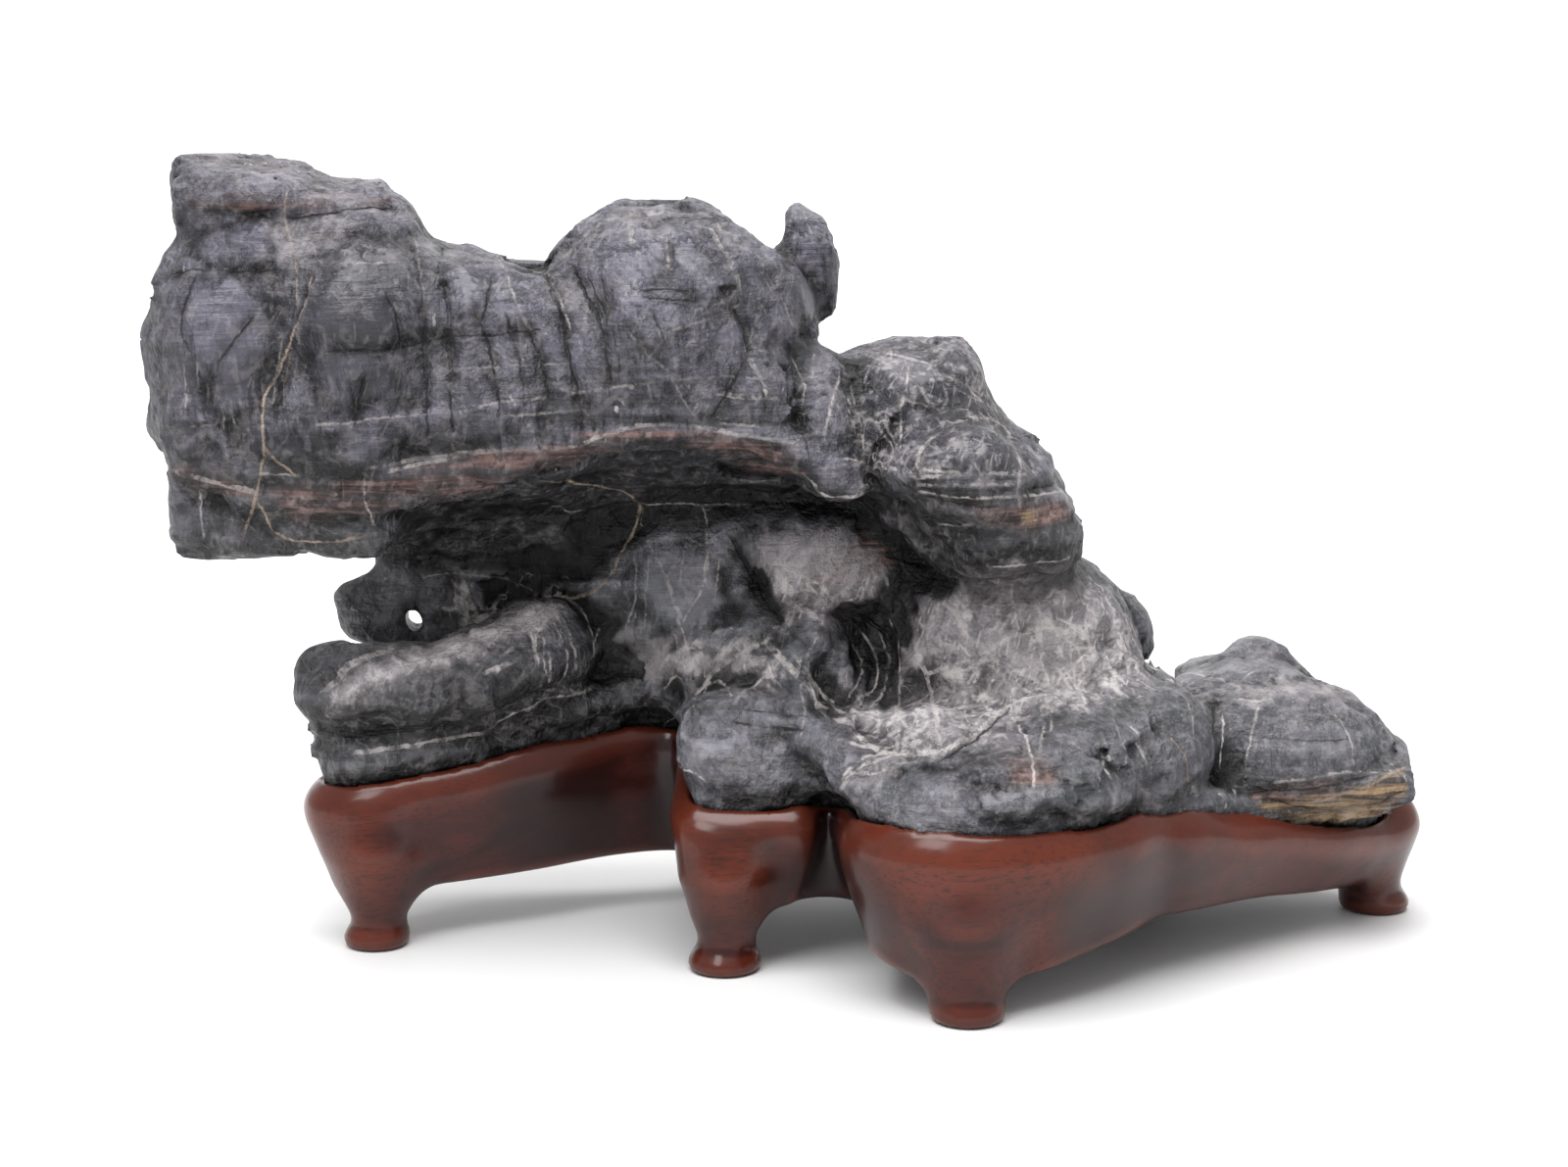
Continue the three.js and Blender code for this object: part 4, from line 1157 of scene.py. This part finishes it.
    # fine relief, flatter on the worn faces, with the cracks cut in
    height = calc("MULTIPLY_ADD", mottle, 0.9, calc("MULTIPLY", gritty, 0.35))
    upright = calc("MULTIPLY", strokes, crest)
    for noise, tall in ((beds, 0.9), (upright, 1.0), (patchy, 1.6), (scallop, 1.7), (small, 0.55)):
        height = calc("MULTIPLY_ADD", noise, tall, height)
    height = calc("MULTIPLY", height, lively)
    lines = calc("MAXIMUM", scratches, pale)
    for mark, tall in (
        (ripples, 0.5),
        (worn, 0.4),
        (creases, -0.35),
        (crack, -0.9),
        (lines, 0.12),
        (bright, 0.25),
    ):
        height = calc("MULTIPLY_ADD", mark, tall, height)
    bump = add("Bump", {"Height": height, "Strength": 0.85, "Distance": 0.0018})
    tree.links.new(bump.outputs[0], shader.inputs["Normal"])
    return material


stone.data.materials.append(rock_finish())
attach(stone, "root")
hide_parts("stone")

# The stand
# One block of red-brown hardwood. Its lobed wall follows the base of the stone, the seat is cut
# to the stone's own underside, and six short feet sweep out into toes. Lacquered to a deep gloss.

seat_gap = 1.9  # mm of air between stone and wood
rim_round = 20.0  # mm over which the wall turns into its rim
wall_belly = 3.0  # mm that the wall draws in above its belly
wall_tuck = 12.0  # mm that it draws in below
drawn_from = np.array([7.84, 18.02])  # the drawing's origin, seen from the part's

# The belly line seen from above: x, y, height of the rim, height of the wall's lower edge.
belly_line = np.array([
    (-191, 24, 70, 22), (-184, 6, 71, 22), (-163, -2, 74, 20), (-130, 6, 79, 22), (-95, 21, 85, 23),
    (-62, 37, 90, 25), (-45, 39, 90, 26), (-43, 18, 83, 26), (-44, -12, 73, 26), (-38, -27, 70, 24),
    (-12, -30, 70, 24), (10, -27, 70, 24), (17, -18, 73, 24), (20, -32, 75, 20), (22, -62, 77, 16),
    (38, -83, 79, 14), (66, -92, 79, 13), (98, -84, 79, 14), (124, -66, 78, 18), (141, -53, 77, 22),
    (156, -40, 73, 24), (190, -12, 63, 22), (228, 18, 54, 17), (251, 42, 49, 13), (257, 62, 49, 12),
    (249, 86, 50, 13), (222, 108, 57, 18), (176, 124, 64, 22), (120, 130, 68, 23), (60, 124, 70, 24),
    (0, 116, 74, 26), (-60, 108, 76, 29), (-118, 96, 74, 28), (-160, 74, 71, 25), (-184, 48, 70, 23),
], float)
# The feet: x, y, radius where it is thinnest, radius of the toe.
feet = np.array([
    (-160, 12, 9.8, 12.6), (-22, -18, 10.2, 14), (66, -76, 11.4, 13.4), (243, 61, 10.5, 14),
    (150, 112, 11, 13.4), (-24, 98, 11, 13.4),
]) - [*drawn_from, 0, 0]


def drawn_through(rows, steps):
    """A closed centripetal Catmull-Rom curve through the rows' x, y, with rim and edge eased."""
    spots = [np.roll(rows[:, :2], n, axis=0) for n in (1, 0, -1, -2)]
    gaps = [np.sqrt(np.linalg.norm(b - a, axis=1))[:, None] for a, b in zip(spots, spots[1:])]
    p0, p1, p2, p3 = spots
    d0, d1, d2 = gaps
    leave = d1 * ((p1 - p0) / d0 - (p2 - p0) / (d0 + d1) + (p2 - p1) / d1)
    arrive = d1 * ((p2 - p1) / d1 - (p3 - p1) / (d1 + d2) + (p3 - p2) / d2)
    after = np.roll(rows[:, 2:], -1, axis=0)
    out = []
    for t in np.arange(steps) / steps:
        plan = (
            (2 * t**3 - 3 * t**2 + 1) * p1
            + (t**3 - 2 * t**2 + t) * leave
            + (3 * t**2 - 2 * t**3) * p2
            + (t**3 - t**2) * arrive
        )
        out.append(np.hstack([plan, rows[:, 2:] + (after - rows[:, 2:]) * ease(t, 0, 1)]))
    return np.stack(out, axis=1).reshape(-1, 4)


def plan_of(x, y):
    """Distance to the belly line at each x, y, negative inside, with the rim and edge near there."""
    wall = drawn_through(belly_line - [*drawn_from, 0, 0], 8)
    nearest = np.full(x.shape, 1e9)
    inside = np.zeros(x.shape, bool)
    weights, rim, low = np.zeros(x.shape), np.zeros(x.shape), np.zeros(x.shape)
    for (ax, ay, _, _), (bx, by, b_rim, b_low) in zip(np.roll(wall, 1, axis=0), wall):
        ux, uy = bx - ax, by - ay
        t = np.clip(((x - ax) * ux + (y - ay) * uy) / (ux * ux + uy * uy), 0, 1)
        square = (x - ax - ux * t) ** 2 + (y - ay - uy * t) ** 2
        nearest = np.minimum(nearest, square)
        weight = 1 / (square + 30) ** 2
        weights += weight
        rim += weight * b_rim
        low += weight * b_low
        if ay != by:
            inside ^= ((ay > y) != (by > y)) & (x < ax + ux * (y - ay) / uy)
    return np.sqrt(nearest) * np.where(inside, -1, 1), rim / weights, low / weights


def soft_least(a, b, soft):
    """The lesser of two fields, with the corner between them filled."""
    h = np.maximum(soft - np.abs(a - b), 0) / soft
    return np.minimum(a, b) - h * h * soft / 4


def soft_most(a, b, soft):
    """The greater of two fields, with the corner between them rounded."""
    return -soft_least(-a, -b, soft)


xs, ys, zs = [(np.arange(n) + f) * step for n, f in zip(counts, first)]
layers = int(np.searchsorted(zs, 96))
edge, rim, low = (v[:, :, None] for v in plan_of(*np.meshgrid(xs, ys, indexing="ij")))
height = zs[:layers][None, None, :]
fold = np.exp(-(((xs - 134) / 9) ** 2))[:, None] * (ys < -30)[None, :]
edge = edge + 2.5 * fold[:, :, None]
down = (rim - height) / (rim - low)
side = edge + wall_tuck * ease(down, 0.3, 1.1) + wall_belly * (1 - ease(down, 0, 0.3))
wood = soft_most(soft_most(side, height - rim, rim_round), low - height, 6)
for foot_x, foot_y, ankle, toe in feet:
    away = np.hypot(xs[:, None, None] - foot_x, ys[None, :, None] - foot_y)
    along = np.clip((36 - height) / 27, 0, 1)
    leg = np.hypot(away, np.minimum(np.minimum(36 - height, height - 9), 0)) - 17 + (17 - ankle) * along
    out = np.array([foot_x, foot_y]) / np.hypot(foot_x, foot_y) * 1.5
    away = np.hypot(xs[:, None, None] - foot_x - out[0], ys[None, :, None] - foot_y - out[1])
    pad = np.sqrt((away / toe) ** 2 + ((height - 3) / 6.5) ** 2)
    steepness = np.sqrt((away / toe**2) ** 2 + ((height - 3) / 6.5**2) ** 2)
    pad = pad * (pad - 1) / np.maximum(steepness, 1e-6)
    wood = soft_least(wood, soft_least(leg, pad, 7), 12)
wood = np.maximum(np.maximum(wood, -height), height - rim)
wood = soft_most(wood, seat_gap - softened(stone_field[:, :, : layers + 12], 12)[:, :, :layers], 1.5)
wood_field = np.full(counts, reach, np.float32)
wood_field[:, :, :layers] = np.clip(wood, -reach, reach)
stand = meshed("stand_wood", wood_field)
thinned(stand, 190000)
spots = vertices_of(stand)
wide = softened(wood_field, near_blur)
note(stand, "hollow", np.clip(-sampled(wide, spots) / 2.2, -1, 1))
wider = softened(np.minimum(wood_field, stone_field), far_blur)
note(stand, "shelter", np.clip(-sampled(wider, spots) / 5.0, -1, 1))

# Where the wood is painted darker, partly stain and partly painted shade, and where the wood shows through
# redder.
stain_and_shade_bays = [
    [(525, 785), (560, 775), (636, 768), (640, 862), (590, 880), (545, 886), (505, 850)],
    [(815, 812), (870, 806), (860, 850), (868, 905), (900, 950), (850, 955), (810, 900)],
    [(655, 755), (686, 752), (690, 790), (684, 860), (656, 852)],
    [(1100, 930), (1150, 908), (1190, 897), (1180, 925), (1130, 950), (1100, 958)],
]
red_patches = [
    [(338, 850), (372, 845), (385, 880), (372, 905), (345, 880)],
    [(700, 845), (780, 838), (800, 880), (770, 930), (720, 920), (700, 880)],
    [(900, 880), (1000, 865), (1110, 860), (1120, 890), (1010, 910), (930, 925)],
]
stand_points, stand_corners = shell_of("stand")
stand_shell = BVHTree.FromPolygons(stand_points.tolist(), stand_corners.tolist())
normals = leaning(wide, spots)
# bays painted darker, partly stain and partly painted shade
note(stand, "dark", outlined(stain_and_shade_bays, spots, normals, 14.0, stand_shell))
note(stand, "red", outlined(red_patches, spots, normals, 14.0, stand_shell))


def lacquer_finish():
    """Red-brown hardwood under a soft gloss, with painted shade in its hollows, by the stone and underneath,
    and bays painted darker, partly stain and partly painted shade.
    """
    material = bpy.data.materials.new("lacquered_hardwood")
    material.use_nodes = True
    tree = material.node_tree
    shader = tree.nodes["Principled BSDF"]
    add = adder(tree)
    calc = calculator(add)
    place = add("TexCoord").outputs["Object"]
    upward = add("SeparateXYZ", {0: add("NewGeometry").outputs["Normal"]}).outputs[2]
    long = streaked(add, place, (9, 60, 60), (0.0, 0.06, 0.0))
    figure = grain(add, long, 1.0, 5, 0.6, 0.8)
    pores = grain(add, streaked(add, place, (60, 900, 900), (0.0, 0.06, 0.0)), 1.0, 3, 0.6)
    flecked = grain(add, streaked(add, place, (110, 420, 420), (0.0, 0.06, 0.0)), 1.0, 4, 0.65)
    cloudy = grain(add, place, 14, 4, 0.55)
    drift = calc("MULTIPLY", calc("SUBTRACT", cloudy, 0.5), 30.0)
    dim, warm = (0.023, 0.0040, 0.0032, 1), (0.078, 0.0115, 0.0064, 1)
    colour = tinted(add, spread(add, figure, 0.3, 0.75), dim, warm)
    red = spread(add, calc("ADD", noted(add, "red"), drift), -12.0, 10.0, 0.0, 0.75)
    red = calc("MAXIMUM", red, spread(add, cloudy, 0.52, 0.7, 0.0, 0.5))
    colour = tinted(add, red, colour, tinted(add, figure, (0.090, 0.014, 0.006, 1), (0.15, 0.028, 0.009, 1)))
    # the bays, partly stain and partly painted shade, and darker clouds
    dark = spread(add, calc("ADD", noted(add, "dark"), drift), -13.0, 9.0, 0.0, 0.88)
    dark = calc("MAXIMUM", dark, spread(add, cloudy, 0.48, 0.34, 0.0, 0.62))
    colour = tinted(add, dark, colour, (0.014, 0.0036, 0.0032, 1))
    colour = tinted(add, spread(add, pores, 0.52, 0.66, 0.0, 0.6), colour, (0.018, 0.005, 0.004, 1))
    colour = tinted(add, spread(add, flecked, 0.52, 0.68, 0.0, 0.55), colour, (0.022, 0.005, 0.004, 1))
    hollow = noted(add, "hollow")
    # painted shade in the hollows, in the deep corners by the stone and on the faces that turn down
    painted_shade = calc("MAXIMUM", spread(add, hollow, 0.0, 0.5), spread(add, noted(add, "shelter"), -0.1, 0.5))
    painted_shade = calc("MAXIMUM", painted_shade, spread(add, upward, -0.35, -0.85, 0.0, 0.8))
    colour = tinted(add, calc("MULTIPLY", painted_shade, 0.85), colour, (0.008, 0.002, 0.002, 1))
    rubbed = spread(add, hollow, -0.25, -0.6, 0.0, 0.35)
    colour = tinted(add, rubbed, colour, (0.15, 0.030, 0.013, 1))
    tree.links.new(colour, shader.inputs["Base Color"])
    rough = spread(add, cloudy, 0.3, 0.7, 0.28, 0.36)
    tree.links.new(calc("MULTIPLY_ADD", flecked, 0.08, rough), shader.inputs["Roughness"])
    shader.inputs["Specular IOR Level"].default_value = 0.1
    shader.inputs["Coat Weight"].default_value = 0.6
    shader.inputs["Coat Roughness"].default_value = 0.18
    height = calc("MULTIPLY_ADD", flecked, 0.6, calc("MULTIPLY", pores, 0.6))
    bump = add("Bump", {"Height": height, "Strength": 0.12, "Distance": 0.0006})
    tree.links.new(bump.outputs[0], shader.inputs["Normal"])
    return material


stand.data.materials.append(lacquer_finish())
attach(stand, "root")
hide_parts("stand")

# The studio
# A pale table top that sweeps up behind, a white room, and broad soft lights. The camera stands
# about a metre in front and looks ten degrees down.


def sweep():
    """One smooth sheet: flat under the object, curving up well behind it."""
    width, depth, front, bend, wall = 6.0, 2.2, -3.0, 1.2, 3.0
    line = [(front, 0.0), (depth, 0.0)]
    for i in range(1, 17):
        turn = math.radians(90 * i / 16)
        line.append((depth + bend * math.sin(turn), bend * (1 - math.cos(turn))))
    line.append((depth + bend, wall))
    points = [(side, y, z) for y, z in line for side in (-width, width)]
    faces = [(2 * i, 2 * i + 1, 2 * i + 3, 2 * i + 2) for i in range(len(line) - 1)]
    mesh = bpy.data.meshes.new("floor")
    mesh.from_pydata(points, [], faces)
    mesh.polygons.foreach_set("use_smooth", [True] * len(faces))
    floor = bpy.data.objects.new("floor", mesh)
    bpy.context.scene.collection.objects.link(floor)
    pale = bpy.data.materials.new("pale_floor")
    pale.use_nodes = True
    pale.node_tree.nodes["Principled BSDF"].inputs["Base Color"].default_value = (0.8, 0.8, 0.8, 1)
    pale.node_tree.nodes["Principled BSDF"].inputs["Roughness"].default_value = 0.6
    mesh.materials.append(pale)
    return floor


sweep()

world = bpy.data.worlds.new("white_room")
world.use_nodes = True
world.node_tree.nodes["Background"].inputs[0].default_value = (1.0, 1.0, 1.0, 1)
world.node_tree.nodes["Background"].inputs[1].default_value = 0.6
bpy.context.scene.world = world


def softbox(name, at, aim, size, power):
    """A flat soft light of a width and depth at one point, turned towards another."""
    lamp = bpy.data.lights.new(name, "AREA")
    lamp.shape = "RECTANGLE"
    lamp.size, lamp.size_y = size
    lamp.energy = power
    light = bpy.data.objects.new(name, lamp)
    light.location = at
    forward = np.array(aim) - np.array(at)
    light.rotation_euler = Vector(forward).to_track_quat("-Z", "Y").to_euler()
    bpy.context.scene.collection.objects.link(light)


softbox("top_light", (-0.15, -0.1, 1.7), (0, 0, 0.1), (1.3, 1.3), 4)
softbox("strip_light", (-0.15, -0.5, 1.6), (0, 0, 0.1), (1.5, 0.8), 26)
softbox("key_light", (-0.75, -1.25, 1.5), (0, 0, 0.15), (0.7, 0.7), 10)
softbox("backdrop_light", (0, 1.2, 2.6), (0, 3.2, 0.9), (2.0, 2.0), 110)

camera = bpy.data.cameras.new("camera")
camera.sensor_width = 36
camera.lens = 36 * 2750 / 1600
camera.clip_end = 50
eye = bpy.data.objects.new("camera", camera)
eye.location = (-0.00784, -1.03302, 0.328)
eye.rotation_euler = (math.radians(90 - 10.1), 0, 0)
bpy.context.scene.collection.objects.link(eye)
bpy.context.scene.camera = eye
bpy.context.scene.view_settings.view_transform = "Standard"
